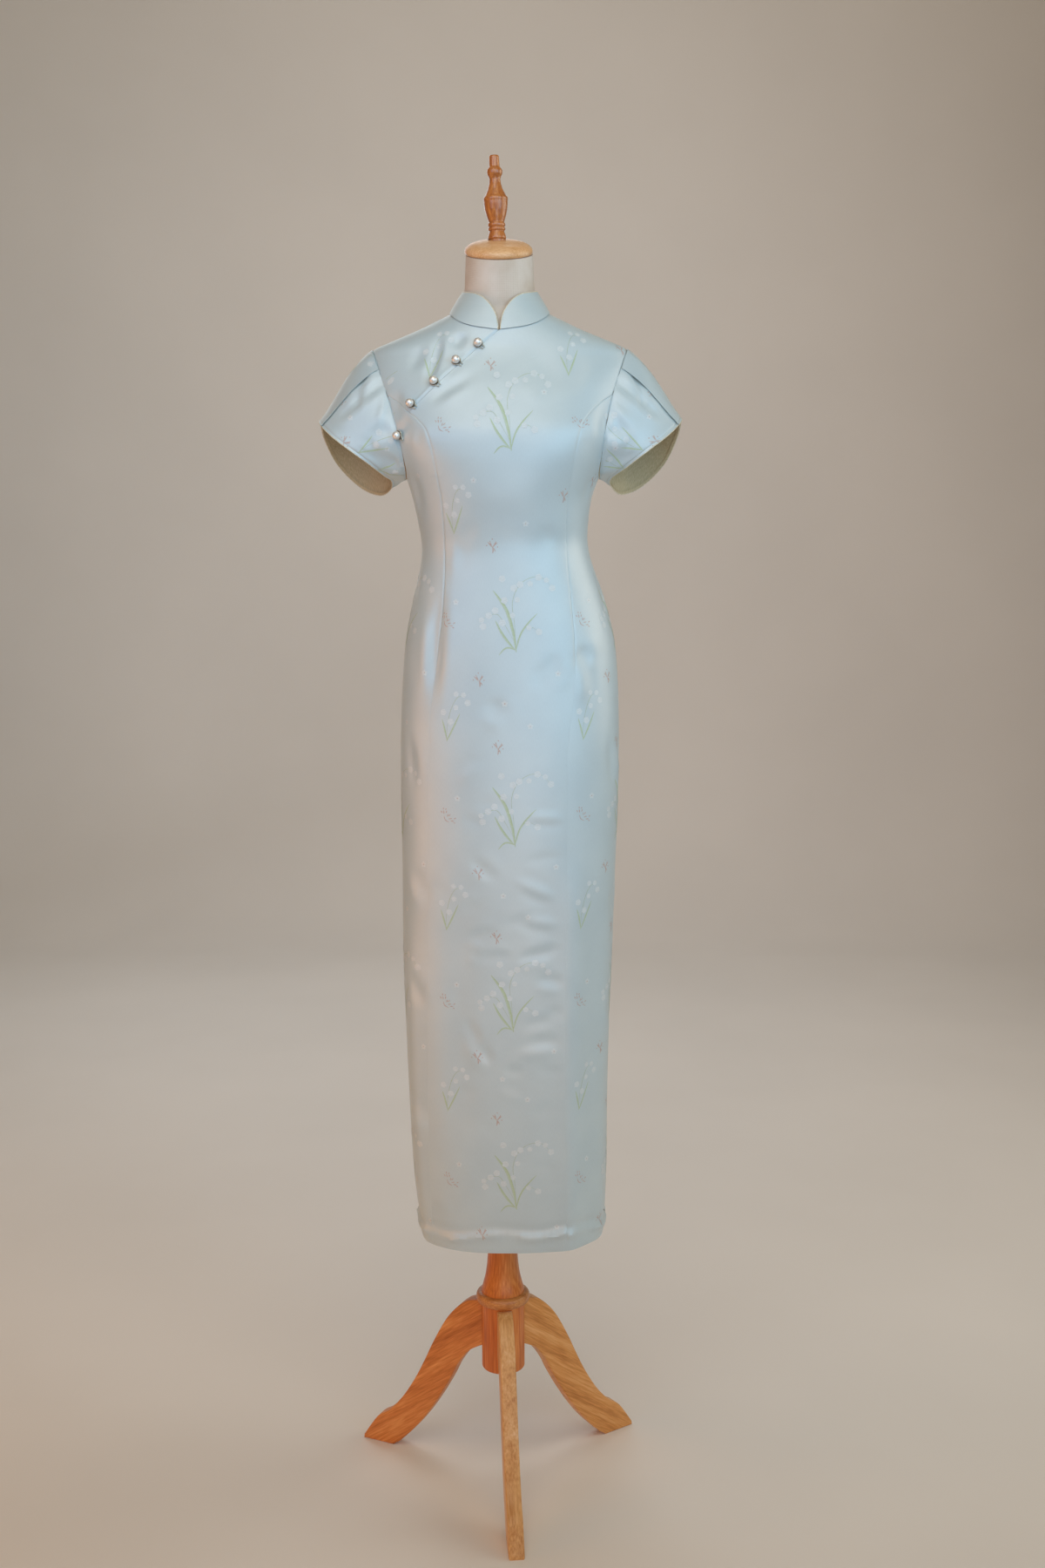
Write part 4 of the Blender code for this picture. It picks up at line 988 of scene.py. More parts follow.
# How each finish is made: the maker, the material's name, its colours (a hex colour or the name of
# a colour in the panel), and what else its maker takes.
MAKERS = {
    "silk": (silk_satin_brocade, "silk satin brocade", "silk", "silk_shade"),
    # the lining side's warm beige is partly painted shade
    "lining": (lining_side_and_painted_shade, "brocade lining side", "lining", "lining_shade"),
    "piping": (piping_cord, "bias satin piping", "piping", "piping_shade"),
    "loop": (piping_cord, "rouleau satin cord", "loop", "loop_shade"),
    "thread": (piping_cord, "silk sewing thread", "piping_shade", "loop_shade"),
    # the pearl's darker tone is painted shade at the bead's rim
    "pearl": (pearl_coating, "nacre-coated pearl", "#F6F4F0", "#B9B1A9"),
    "brass": (gilt_brass, "gilt brass", "#D9B27A", "#9A6F3C"),
    "leaf": (woven_figure, "woven leaf green", "leaf", "leaf_shade"),
    "blade": (woven_figure, "woven pale blade", "blade", "leaf"),
    "stem": (woven_figure, "woven stem olive", "stem", "leaf_shade"),
    "bell": (woven_figure, "woven bell white", "bell", "bell_shade", 0.34),
    "rose": (woven_figure, "woven rose pink", "rose", "rose_shade"),
    "gold": (woven_figure, "woven apricot gold", "gold", "rose_shade"),
    "linen": (linen_cover, "linen cover", "#D8CFC6", "#C7B9AA"),
    "floor": (painted_plaster, "pale matt plaster", "floor", "floor_shade"),
}
# key, material name, light, middle and dark tone, grain, gloss, share of fine pores, clear coat, turn
WOODS = (
    ("beech", "beech", "#EFC89C", "#E2B07E", "#CC935A", (6, 30, 30), 0.3),
    ("stained", "stained beech, varnished", "#D08A4C", "#B36A34", "#8C4A1C", (16, 16, 1.6), 0.2, 0.5, 0.8),
    ("pine", "varnished pine, turned", "#E29248", "#CC7026", "#A95210", (12, 12, 0.7), 0.36),
    ("ring pine", "varnished pine ring", "#D69A58", "#C17C40", "#A05E24", (4, 22, 22), 0.36),
)
# turn of each leg in degrees, its place and its light, middle and dark tone
LEGS = (
    # the tones differ from leg to leg as painted light: the front leg lightest, the left leg warmest and
    # darkest
    (4.8, "front", "#ECC596", "#DBA86C", "#BA7C40"),
    (124.8, "right", "#EDB476", "#DA9850", "#AE6A28"),
    (244.8, "left", "#EAA25A", "#D2803A", "#AA5C1C"),
)
LEG_GRAIN = (1.2, 12.0, 16.0)
for key, *tones in WOODS:
    MAKERS[key] = (varnished_wood, *tones)
# each leg's material carries that leg's painted light in its tones
for leg, (turn, word, *tones) in enumerate(LEGS, 1):
    slope = (0.0, 0.62, math.radians(turn - 90))
    board = f"varnished pine board, {word}"
    MAKERS[f"leg {leg}"] = (varnished_wood, board, *tones, LEG_GRAIN, 0.4, 0.4, 0.25, slope)


def finish(name):
    """The finish of this name, made once and shared."""
    if name not in FINISHES:
        colours = bpy.context.scene.dress_colours
        maker, material, *values = MAKERS[name]
        values = [getattr(colours, v) if isinstance(v, str) and v[0] != "#" else v for v in values]
        FINISHES[name] = maker(material, *values)
    return FINISHES[name]


# ---------------------------------------------------------------- sizes and colours to change


def in_mm(name, description, millimetres):
    return bpy.props.FloatProperty(
        name=name, description=description, default=millimetres * 0.001,
        unit="LENGTH", subtype="DISTANCE", precision=5,
    )


def factor(name, description, value):
    return bpy.props.FloatProperty(
        name=name, description=description, default=value, subtype="FACTOR", min=0.0, soft_max=2.0
    )


def tint(name, description, value):
    return bpy.props.FloatVectorProperty(
        name=name, description=description, size=4, default=linear(value),
        subtype="COLOR", min=0.0, max=1.0,
    )


def watts(name, description, value):
    return bpy.props.FloatProperty(
        name=name, description=description, default=value, min=0.0, unit="POWER"
    )


class DressSizes(bpy.types.PropertyGroup):
    shell: in_mm("Cloth thickness", "Thickness of the drawn cloth", 0.7)
    seam_tuck: in_mm("Seam tuck", "How far a seam sinks into the cloth", 0.6)
    pucker_depth: in_mm("Seam puckers", "Height of the ripples beside a seam", 0.22)
    hem_depth: in_mm("Hem depth", "Height of the turned-up hem", 38.0)
    piping_radius: in_mm("Piping radius", "Radius of the piping on rim, petals and sleeve hems", 0.95)
    stitch_pitch: in_mm("Stitch pitch", "Travel from one stitch to the next", 3.2)
    stitch_radius: in_mm("Thread radius", "Radius of the drawn sewing thread", 0.22)
    figure_lift: in_mm("Figure lift", "How far a woven figure stands over the cloth", 0.16)
    crease_strength: factor("Crease strength", "Depth of the hand-placed creases", 1.0)


class DressColours(bpy.types.PropertyGroup):
    silk: tint("Silk", "Face of the brocade in the light", "#C0D3DA")
    silk_shade: tint("Silk, low", "Face of the brocade in its duller patches", "#BACED6")
    # the lining side's warm beige is partly painted shade, the brown-gold of the sleeves' shaded insides
    lining: tint("Lining side", "Back of the brocade", "#CDBE9B")
    lining_shade: tint("Lining side, low", "Back of the brocade in its duller floats", "#AF9F79")
    piping: tint("Piping", "Satin of the piping", "#E2DCC6")
    piping_shade: tint("Piping, low", "Duller floats of the piping", "#C2B89E")
    loop: tint("Loops", "Satin of the button loops", "#C2C8C2")
    loop_shade: tint("Loops, low", "Duller floats of the loops", "#A5AAA2")
    leaf: tint("Leaf", "Green of the woven leaves", "#B8CBAE")
    leaf_shade: tint("Leaf, low", "Darker green of the woven leaves", "#AFC29F")
    blade: tint("Blade", "Lit half of a woven leaf", "#BED0C6")
    stem: tint("Stem", "Woven stems", "#B9C9C8")
    bell: tint("Bells", "White of the woven bells", "#D6E2E7")
    bell_shade: tint("Bells, low", "Pink-grey of the woven bells", "#CCD7DA")
    rose: tint("Rose", "Pink of the small blossoms", "#C5B9B5")
    rose_shade: tint("Rose, low", "Deeper pink of the small blossoms", "#B9A19A")
    gold: tint("Apricot", "Apricot of the moths and blossoms", "#C9CCCD")
    floor: tint("Floor", "Floor and backdrop", "#ECEBE9")
    floor_shade: tint("Floor, low", "Duller patches of floor and backdrop", "#E6E5E3")


# place and target in metres, size, tone, power, spread in degrees and the name of each area light
LIGHTS = {
    "cool": ((1.9, -2.3, 2.0), (0, 0, 1.65), 2.8, "#A9DEFF", 5.6, 58, "window light"),
    "high": ((-1.8, -2.3, 2.2), (0, 0, 1.6), 2.4, "#BFD9FF", 2.8, 56, "high light from the left"),
    "front": ((0.2, -2.9, 2.0), (0, 0, 1.45), 2.8, "#DCEAFF", 2.7, 54, "wide front light"),
    "top": ((0.0, -1.3, 3.1), (0, 0, 1.7), 2.6, "#FFF0CC", 14.7, 180, "soft top light"),
    "chest": ((-0.3, -1.9, 3.1), (0, 0, 1.65), 1.5, "#F2F7FF", 1.6, 80, "top light on the chest"),
    "side": ((2.6, 0.2, 2.0), (0, 0, 1.5), 2.2, "#FFF6E8", 22.0, 180, "light on the right side"),
    "warm": ((-2.7, -0.5, 0.9), (0, 0, 0.95), 1.8, "#FFA850", 13.0, 180, "low warm light"),
    "low": ((-1.7, -1.5, 0.4), (0, 0, 0.5), 1.3, "#FFA850", 2.2, 120, "warm light low on the left"),
    "below": ((0.4, -2.5, 0.75), (0, 0, 1.45), 1.2, "#A9DEFF", 0.5, 44, "cool light from below"),
    "behind": ((0.0, 1.3, 3.6), (0, 4.2, 1.2), 1.4, "#FFFAF5", 26.0, 180, "light on the backdrop"),
    "back": ((-0.9, 3.0, 2.6), (0, 0, 1.2), 2.4, "#EAF1F8", 15.0, 180, "soft light on the back"),
    "glow": ((0.2, -1.9, 0.3), (0, 0, 0.45), 1.3, "#FFB870", 0.7, 64, "floor glow"),
}


class StageSizes(bpy.types.PropertyGroup):
    lens: bpy.props.FloatProperty(name="Lens", description="Focal length in millimetres", default=40.0)
    air: factor("Room light", "Strength of the light from the room itself", 0.2)


for key, (*_, power, spread, name) in LIGHTS.items():
    StageSizes.__annotations__[key] = watts(name.capitalize(), f"Power of the {name}", power)


class Sizes:
    """The sizes of the cloth in millimetres."""

    def __init__(self, group):
        for name in DressSizes.__annotations__:
            setattr(self, name, getattr(group, name) * (1 if name == "crease_strength" else 1000))


# ---------------------------------------------------------------- turned and ringed pieces


def rings_object(name, rings, material, sharp=35):
    """A smooth closed solid through rings of points, each end closed to a point at its middle."""
    rings = np.asarray(rings, float)
    count, sides = rings.shape[:2]
    index = np.arange(count * sides).reshape(count, sides)
    after = np.roll(index, -1, axis=1)
    faces = np.stack([index[:-1], after[:-1], after[1:], index[1:]], -1).reshape(-1, 4).tolist()
    points = np.concatenate([rings.reshape(-1, 3), rings[0].mean(0)[None], rings[-1].mean(0)[None]])
    low, high = count * sides, count * sides + 1
    faces += [[int(a), low, int(b)] for a, b in zip(index[0], after[0])]
    faces += [[int(a), int(b), high] for a, b in zip(index[-1], after[-1])]
    made = new_object(name, points, faces, [material], sharp=sharp)
    outwards(made)
    return made


def outwards(made):
    """Turns every face of a closed mesh outwards, after merging what lies together."""
    tool = bmesh.new()
    tool.from_mesh(made.data)
    bmesh.ops.remove_doubles(tool, verts=tool.verts, dist=1e-6)
    bmesh.ops.recalc_face_normals(tool, faces=tool.faces)
    tool.to_mesh(made.data)
    tool.free()
    made.data.update()


def eased(profile, radius=0.8, steps=4):
    """A turner's profile with each corner rounded, as radius and height."""
    profile = np.array(profile, float)
    points = [profile[0]]
    for before, corner, after in zip(profile, profile[1:], profile[2:]):
        back, ahead = before - corner, after - corner
        size = min(radius, 0.42 * np.linalg.norm(back), 0.42 * np.linalg.norm(ahead))
        start, end = corner + unit(back) * size, corner + unit(ahead) * size
        t = np.linspace(0, 1, steps)[:, None]
        points += list((1 - t) ** 2 * start + 2 * t * (1 - t) * corner + t**2 * end)
    return np.array(points + [profile[-1]])


def smooth_line(points, steps):
    """A Catmull-Rom curve through points, with this many steps in each stretch."""
    points = np.asarray(points, float)
    result = []
    for k in range(len(points) - 1):
        a, b, c, d = points[max(k - 1, 0)], points[k], points[k + 1], points[min(k + 2, len(points) - 1)]
        for t in np.linspace(0, 1, steps, endpoint=False):
            square, cube = 2 * a - 5 * b + 4 * c - d, 3 * b - a - 3 * c + d
            result.append(0.5 * (2 * b + (c - a) * t + square * t**2 + cube * t**3))
    return np.array([*result, points[-1]])


def lathe(name, profile, material, sides=96, place=(0, 0, 0), lean=0.0, tip=0.0):
    """A turned piece: the profile swept round, then leaned, tipped and put in its place."""
    turn = np.linspace(0, math.tau, sides, endpoint=False)
    radius, height = np.asarray(profile, float).T[:, :, None]
    height = np.repeat(height, sides, 1)
    rings = np.stack([radius * np.cos(turn), radius * np.sin(turn), height], -1)
    tipped = Matrix.Rotation(math.radians(tip), 3, "Y")
    turned = np.array(tipped @ Matrix.Rotation(math.radians(lean), 3, "X"))
    return rings_object(name, rings @ turned.T + np.array(place, float), material)


def cut(made, cutter):
    """Takes the cutter's shape out of a piece, leaving a plain mesh, and removes the cutter."""
    boolean = made.modifiers.new("seat", "BOOLEAN")
    boolean.operation, boolean.object, boolean.solver = "DIFFERENCE", cutter, "EXACT"
    made.data = plain_mesh(made)
    made.modifiers.clear()
    bpy.data.objects.remove(cutter, do_unlink=True)
    if not made.data.polygons:
        raise RuntimeError(f"{made.name}: nothing is left after the cut")
    return made


def plain_mesh(made):
    bpy.context.view_layer.update()
    graph = bpy.context.evaluated_depsgraph_get()
    mesh = bpy.data.meshes.new_from_object(
        made.evaluated_get(graph), preserve_all_data_layers=True, depsgraph=graph
    )
    mesh.name = made.name
    return mesh


# ---------------------------------------------------------------- node trees for cords and stitches


def new_tree(name, numbers):
    """A geometry tree whose inputs are a mesh line, these numbers by name and a finish, with its
    input sockets and the line as an evenly stepped curve."""
    tree = bpy.data.node_groups.new(name, "GeometryNodeTree")

    def socket(label, kind, direction="INPUT"):
        return tree.interface.new_socket(label, in_out=direction, socket_type=f"NodeSocket{kind}")

    socket("Line", "Geometry")
    for number, value in numbers.items():
        socket(number, "Int" if isinstance(value, int) else "Float").default_value = value
    socket("Finish", "Material")
    socket("Made", "Geometry", "OUTPUT")
    given = add(tree, "NodeGroupInput").outputs
    line = add(tree, "GeometryNodeMeshToCurve", None, {"Mesh": given["Line"]})
    inputs = {"Curve": line.outputs[0], "Length": given["Step"]}
    even = add(tree, "GeometryNodeResampleCurve", {"mode": "LENGTH"}, inputs)
    return tree, given, even.outputs[0]


def end_tree(tree, geometry, finish_socket):
    whole = add(tree, "GeometryNodeRealizeInstances", None, {"Geometry": geometry})
    inputs = {"Geometry": whole.outputs[0], "Material": finish_socket}
    coated = add(tree, "GeometryNodeSetMaterial", None, inputs)
    add(tree, "NodeGroupOutput", None, {"Made": coated.outputs[0]})
    return tree


def cord_tree():
    """A round cord along a line."""
    tree, given, even = new_tree("cord along a line", {"Radius": 0.001, "Step": 0.002, "Sides": 10})
    inputs = {"Resolution": given["Sides"], "Radius": given["Radius"]}
    ring = add(tree, "GeometryNodeCurvePrimitiveCircle", {"mode": "RADIUS"}, inputs)
    inputs = {"Curve": even, "Profile Curve": ring.outputs[0], "Fill Caps": True}
    tube = add(tree, "GeometryNodeCurveToMesh", None, inputs)
    smooth = add(tree, "GeometryNodeSetShadeSmooth", None, {"Geometry": tube.outputs[0]})
    return end_tree(tree, smooth.outputs[0], given["Finish"])


def stitch_tree():
    """Stitches laid end to end along a line, each a short swell of thread, a little uneven."""
    numbers = {"Step": 0.0032, "Length": 0.0022, "Thickness": 0.0005, "Seed": 3}
    tree, given, even = new_tree("stitches along a line", numbers)
    ball = add(tree, "GeometryNodeMeshUVSphere", None, {"Segments": 6, "Rings": 4, "Radius": 0.5})
    tangent = add(tree, "GeometryNodeInputTangent").outputs[0]
    turned = add(tree, "FunctionNodeAlignRotationToVector", {"axis": "X"}, {"Vector": tangent})
    inputs = {2: 0.8, 3: 1.1, "Seed": given["Seed"]}
    uneven = add(tree, "FunctionNodeRandomValue", {"data_type": "FLOAT"}, inputs)
    inputs = {0: given["Length"], 1: uneven.outputs[1]}
    long = add(tree, "ShaderNodeMath", {"operation": "MULTIPLY"}, inputs)
    inputs = {"X": long.outputs[0], "Y": given["Thickness"], "Z": given["Thickness"]}
    size = add(tree, "ShaderNodeCombineXYZ", None, inputs)
    inputs = {"Points": even, "Instance": ball.outputs[0], "Rotation": turned.outputs[0]}
    inputs["Scale"] = size.outputs[0]
    laid = add(tree, "GeometryNodeInstanceOnPoints", None, inputs)
    return end_tree(tree, laid.outputs[0], given["Finish"])


def along_line(name, line, tree, numbers, material):
    """Runs a tree over a line of points in millimetres and keeps the result as a plain mesh."""
    mesh = bpy.data.meshes.new(name)
    mesh.from_pydata(world(line).tolist(), [(k, k + 1) for k in range(len(line) - 1)], [])
    made = linked(name, mesh)
    modifier = made.modifiers.new("made", "NODES")
    modifier.node_group = tree
    inputs = [item for item in tree.interface.items_tree if item.in_out == "INPUT"]
    for item in inputs:
        if item.name in numbers:
            modifier[item.identifier] = numbers[item.name]
        elif item.name == "Finish":
            modifier[item.identifier] = material
    made.data = plain_mesh(made)
    made.modifiers.clear()
    if not made.data.polygons:
        raise RuntimeError(f"{name}: its tree made nothing")
    return made


# ---------------------------------------------------------------- operators


class PieceOperator:
    """What the operators share: their sizes, and a result that says so."""

    bl_options = {"REGISTER", "UNDO"}

    def execute(self, context):
        self.make(context, Sizes(context.scene.dress_sizes))
        return {"FINISHED"}


class CHEONGSAM_OT_stage(PieceOperator, bpy.types.Operator):
    """Make the floor and backdrop, the soft lights and the camera"""

    bl_idname = "cheongsam.stage"
    bl_label = "Stage"

    def make(self, context, sizes):
        self.backdrop()
        stage = context.scene.dress_stage
        for key in LIGHTS:
            self.light(key, getattr(stage, key))
        world_air = bpy.data.worlds.new("room air")
        world_air.use_nodes = True
        sky = world_air.node_tree.nodes["Background"]
        sky.inputs["Color"].default_value = linear("#DDBF95")
        sky.inputs["Strength"].default_value = stage.air
        context.scene.world = world_air
        context.scene.view_settings.view_transform = "Standard"
        self.camera(context, stage.lens)

    @staticmethod
    def backdrop():
        """A floor that bends up into a wall."""
        angles = np.linspace(0, math.pi / 2, 24)
        bend = [(WALL_Y - BEND + BEND * math.sin(a), BEND - BEND * math.cos(a)) for a in angles]
        profile = [(-STAGE_HALF, 0), (-2000, 0), *bend, (WALL_Y, WALL_TOP)]
        points = np.array([(x, y, z) for y, z in profile for x in (-STAGE_HALF, STAGE_HALF)], float)
        faces = [(2 * k, 2 * k + 1, 2 * k + 3, 2 * k + 2) for k in range(len(profile) - 1)]
        new_object("studio_floor", points, faces, [finish("floor")])

    @staticmethod
    def light(key, power):
        place, target, size, tone, _, spread, name = LIGHTS[key]
        lamp = bpy.data.lights.new(name, "AREA")
        lamp.spread = math.radians(spread)
        lamp.shape, lamp.size, lamp.energy = "DISK", size, power
        lamp.color = linear(tone)[:3]
        made = linked(name, lamp)
        made.location = place
        made.rotation_euler = (Vector(target) - Vector(place)).to_track_quat("-Z", "Y").to_euler()
        made.visible_camera = False

    @staticmethod
    def camera(context, focal_length):
        """It stands 2.5 m in front at chest height, looks a little down and is rolled a little."""
        pitch, roll = math.radians(LOOKS_DOWN), math.radians(ROLLED)
        ahead = Vector((0, math.cos(pitch), -math.sin(pitch)))
        up = Vector((0, math.sin(pitch), math.cos(pitch)))
        right = ahead.cross(up)
        across = right * math.cos(roll) - up * math.sin(roll)
        upward = right * math.sin(roll) + up * math.cos(roll)
        lens = bpy.data.cameras.new("camera")
        lens.lens, lens.sensor_width = focal_length, 36
        made = linked("camera", lens)
        made.matrix_world = Matrix((across, upward, -ahead)).transposed().to_4x4()
        made.location = Vector(CAMERA_PLACE) + Vector(AXIS * 0.001)
        context.scene.camera = made


class CHEONGSAM_OT_panels(PieceOperator, bpy.types.Operator):
    """Cut and sew the body of the dress: front, yoke, side fronts and the two halves of the back"""

    bl_idname = "cheongsam.panels"
    bl_label = "Dress panels"

    def make(self, context, sizes):
        cloth = [finish("silk"), finish("lining")]
        front_panel(sizes).build(cloth)
        front_yoke(sizes).build(cloth)
        for shape, name, node, side, seed in (
            (side_front, "silk_side_right", "side_front_right", -1, 37),
            (side_front, "silk_side_left", "side_front_left", 1, 41),
            (back_half, "silk_back_left", "back_left", 1, 53),
            (back_half, "silk_back_right", "back_right", -1, 67),
        ):
            shape(name, node, side, seed, sizes).build(cloth)


class CHEONGSAM_OT_collar(PieceOperator, bpy.types.Operator):
    """Build the standing collar"""

    bl_idname = "cheongsam.collar"
    bl_label = "Collar"

    def make(self, context, sizes):
        near_front = np.array([1.5, 2, 2.7, 3.5, 4.5, 6, 8, 10.5, 13])
        turns = np.concatenate([near_front, np.linspace(16, 344, 150), 360 - near_front[::-1]])
        points, out = collar_grid(turns, 16)
        up = np.linspace(0, 1, 16)[:, None]
        swell = 0.5 * np.sin(np.pi * up) + 0.25 * np.sin(np.radians(turns * 5))[None] * up
        outer = points + out * (COLLAR_WALL + swell)[..., None]
        uv = np.stack([lengths(points, 1), lengths(points, 0)], -1).reshape(-1, 2) * 0.001
        made = cloth_shell("silk_collar", outer, out, 1.3, [finish("silk"), finish("lining")], uv)
        finished(made, "silk_satin_brocade", "collar")


# side, whether behind, and name of each petal
PETALS = (
    *((-1, False, "front_right"), (-1, True, "back_right")),
    *((1, False, "front_left"), (1, True, "back_left")),
)


class CHEONGSAM_OT_sleeves(PieceOperator, bpy.types.Operator):
    """Drape the four petals of the sleeves"""

    bl_idname = "cheongsam.sleeves"
    bl_label = "Petal sleeves"

    def make(self, context, sizes):
        cloth = [finish("silk"), finish("lining")]
        for side, behind, name in PETALS:
            points, out, turns, along_arm = petal_grid(side, behind)
            rise = petal_rise(points, turns, along_arm, side, behind, sizes.crease_strength)
            across, down = lengths(points, 1), lengths(points, 0)
            far = down[-1:] - down
            rise = rise + 0.3 * hump(far - 7, 3.5) * (1 + puckers(across, far * 0, 90 + side, 8))
            rise = rise + 0.45 * hump(far, 1.7) - 0.55 * hump(far - 3.4, 1.1)
            if behind:  # the lap lies on top: its edge is rolled and stands off a little
                lap = across[:, -1:] - across
                rise = rise + 0.5 * hump(lap, 2.0) + 0.35 * hump(lap, 14)
            outer = points + out * (PETAL + rise)[..., None]
            uv = np.stack([across, -down], -1).reshape(-1, 2) * 0.001
            made = cloth_shell(f"silk_sleeve_{name}", outer, out, sizes.shell, cloth, uv)
            finished(made, "silk_satin_brocade", f"sleeve_{name}")


PEARL = 6.0
CUP_LIFT = 0.35
# radius and height of the cup's outline, first its outer side and then its inner side
CUP = (
    *((0, -0.45), (3.5, -0.45), (5.0, 0.1), (5.8, 1.3), (6.15, 2.9), (5.95, 2.9), (5.6, 1.6)),
    *((4.9, 0.5), (3.4, -0.1), (0, -0.1)),
)


class CHEONGSAM_OT_buttons(PieceOperator, bpy.types.Operator):
    """Make the pearl buttons, their gilt cups and the cord loops"""

    bl_idname = "cheongsam.buttons"
    bl_label = "Pearl buttons and loops"

    def make(self, context, sizes):
        cord = cord_tree()
        around = np.linspace(0, math.pi, 26)
        bead = np.stack([PEARL * np.sin(around), PEARL - PEARL * np.cos(around)], -1)
        bead[:, 1] = np.maximum(bead[:, 1], 0.12)
        numbers = {"Radius": 0.001, "Step": 0.0008, "Sides": 12}
        for number, (x, height) in enumerate(BUTTONS, 1):
            turn = turn_at_x(x, height)
            place, out = surface(turn, height), normal(turn, height)
            foot = place + out * (CLOTH + SEAM)
            made = self.turned_on(f"pearl_bead_{number}", bead, finish("pearl"), foot, out, 48)
            finished(made, "pearl_coating", f"pearl_button_{number}")
            foot = place + out * (CLOTH + SEAM + CUP_LIFT)
            name, cup = f"pearl_cup_{number}", np.array(CUP)
            made = self.turned_on(name, cup, finish("brass"), foot, out, 40, 8)
            finished(made, "pearl_coating")
            line = self.loop(place, out)
            made = along_line(f"cord_loop_{number}", line, cord, numbers, finish("loop"))
            finished(made, "loop_cord", f"button_loop_{number}")

    @staticmethod
    def turned_on(name, profile, material, foot, out, sides, lobes=0):
        """A piece turned about the cloth's normal, its edge scalloped where it has lobes."""
        aside = unit(np.cross(out, (0.0, 0.0, 1.0)))
        upward = np.cross(out, aside)
        turn = np.linspace(0, math.tau, sides, endpoint=False)
        radius, height = profile[:, :1], profile[:, 1:]
        if lobes:
            radius = radius * (1 + 0.035 * np.cos(lobes * turn) * (height > 1.2))
        spoke = np.cos(turn)[:, None] * aside + np.sin(turn)[:, None] * upward
        rings = foot + radius[..., None] * spoke + height[..., None] * out
        return rings_object(name, rings, material, sharp=60)

    @staticmethod
    def loop(foot, out):
        """A teardrop round the foot of the pearl, drawn together at its tail."""
        middle = foot + out * (CLOTH + SEAM + 1.0 + CUP_LIFT)
        aside = unit(np.array([1.0, 0, 0]) - out * out[0])
        upward = np.cross(out, aside)
        tail = unit(aside * 0.75 - upward * 0.66)
        side = np.cross(out, tail)
        angles = np.radians(np.linspace(32, 328, 12))
        ring = middle + (tail * np.cos(angles)[:, None] + side * np.sin(angles)[:, None]) * 5.9
        knot = middle + tail * 10.5
        return smooth_line([knot + side * 1.5, *ring, knot - side * 1.5], 6)


# height, half width, depth and lean in degrees of the neck's cuts
NECK_CUTS = ((1785, 50.2, 51.5, 8), (1812, 48.5, 49.5, 13), (1838, 47.5, 48.5, 17))
# radius and height of the cap's outline
CAP = (
    *((45.5, 0), (47, 1), (47.8, 2.6), (48, 4), (47.9, 5.6), (47.4, 7.2), (46.2, 9.2), (44, 11.3)),
    *((40.4, 13.7), (36, 15.6), (30, 17.2), (24, 18.3), (18, 19.1), (12, 19.6), (6, 19.9)),
)
FINIAL_PLACE, FINIAL_TIP = (2, -1, 1858), -1.8


def form_clearance(turn, height):
    """How far the form lies inside the garment surface, with its shoulder ends cut off straight."""
    to_side = ease((np.abs(np.sin(np.radians(turn))) - 0.80) / 0.18)
    plate = to_side * ease((height - 1500) / 60) * ease((1712 - height) / 24)
    return 2.0 + 1.2 * ease((1700 - height) / 120) + 1.0 * ease((height - 1712) / 20) + 11 * plate


class CHEONGSAM_OT_form(PieceOperator, bpy.types.Operator):
    """Shape the linen-covered torso and the beech cap on its neck"""

    bl_idname = "cheongsam.form"
    bl_label = "Dress form"

    def make(self, context, sizes):
        turn = np.linspace(0, 360, 112, endpoint=False)[None]
        heights = [np.linspace(FORM_BASE, 1690, 110), np.linspace(1696, SURFACE_TOP, 18)]
        heights = np.concatenate(heights)[:, None]
        inwards = form_clearance(turn, heights)[..., None]
        body = surface(turn, heights) - normal(turn, heights) * inwards
        angle = np.radians(turn[0])
        cuts = [body[-1]]
        for height, half, depth, lean in NECK_CUTS:
            y = -depth * np.cos(angle)
            z = height + math.tan(math.radians(lean)) * y
            cuts.append(np.stack([MIDDLE_X + half * np.sin(angle), y, z], -1))
        base = [body[0] * (1, 1, 0) + (0, 0, FORM_BASE)]
        rings = np.concatenate([base, body[1:], smooth_line(cuts, 7)[1:]])
        made = rings_object("linen_torso", rings, finish("linen"), sharp=45)
        finished(made, "linen_cover", "form_body")
        wood = finish("beech")
        cap = lathe("beech_cap", CAP, wood, 96, (4, -1, 1838), lean=NECK_CUTS[-1][-1])
        bore = lathe("bore", [(11.5, -6.3), (11.5, 20)], wood, 64, FINIAL_PLACE, tip=FINIAL_TIP)
        finished(cut(cap, bore), "beech", "neck_cap")


FINIAL = (
    (11.2, -6), (11.2, 0.2), (13, 1.4), (12.5, 5), (10.8, 10), (10.3, 11.5), (12.2, 13), (12.2, 15.5),
    (10.8, 17), (12.3, 18.5), (12.3, 21.5), (10.7, 23.5), (13.4, 31), (15.8, 40), (16.8, 48), (16.8, 52),
    (17.3, 53.5), (17.3, 56.5), (14.6, 60), (10.6, 68), (8.3, 76), (7.6, 82), (8.6, 85), (10.9, 89),
    (10.9, 94), (8.2, 98), (7.3, 98.6), (7, 112), (6.2, 114), (0.4, 114.5),
)
RING = (
    (36, 0), (39.5, 2), (41, 6), (41, 11), (39.5, 15), (36.5, 17),
)
COLUMN = ((33, 0), (32.2, 5), (29, 16), (26.2, 28), (24, 44), (22.7, 62), (22, 90), (22, 400), (22, 724.4))
HUB = ((31.5, 0), (33, 2), (33, 105.7))
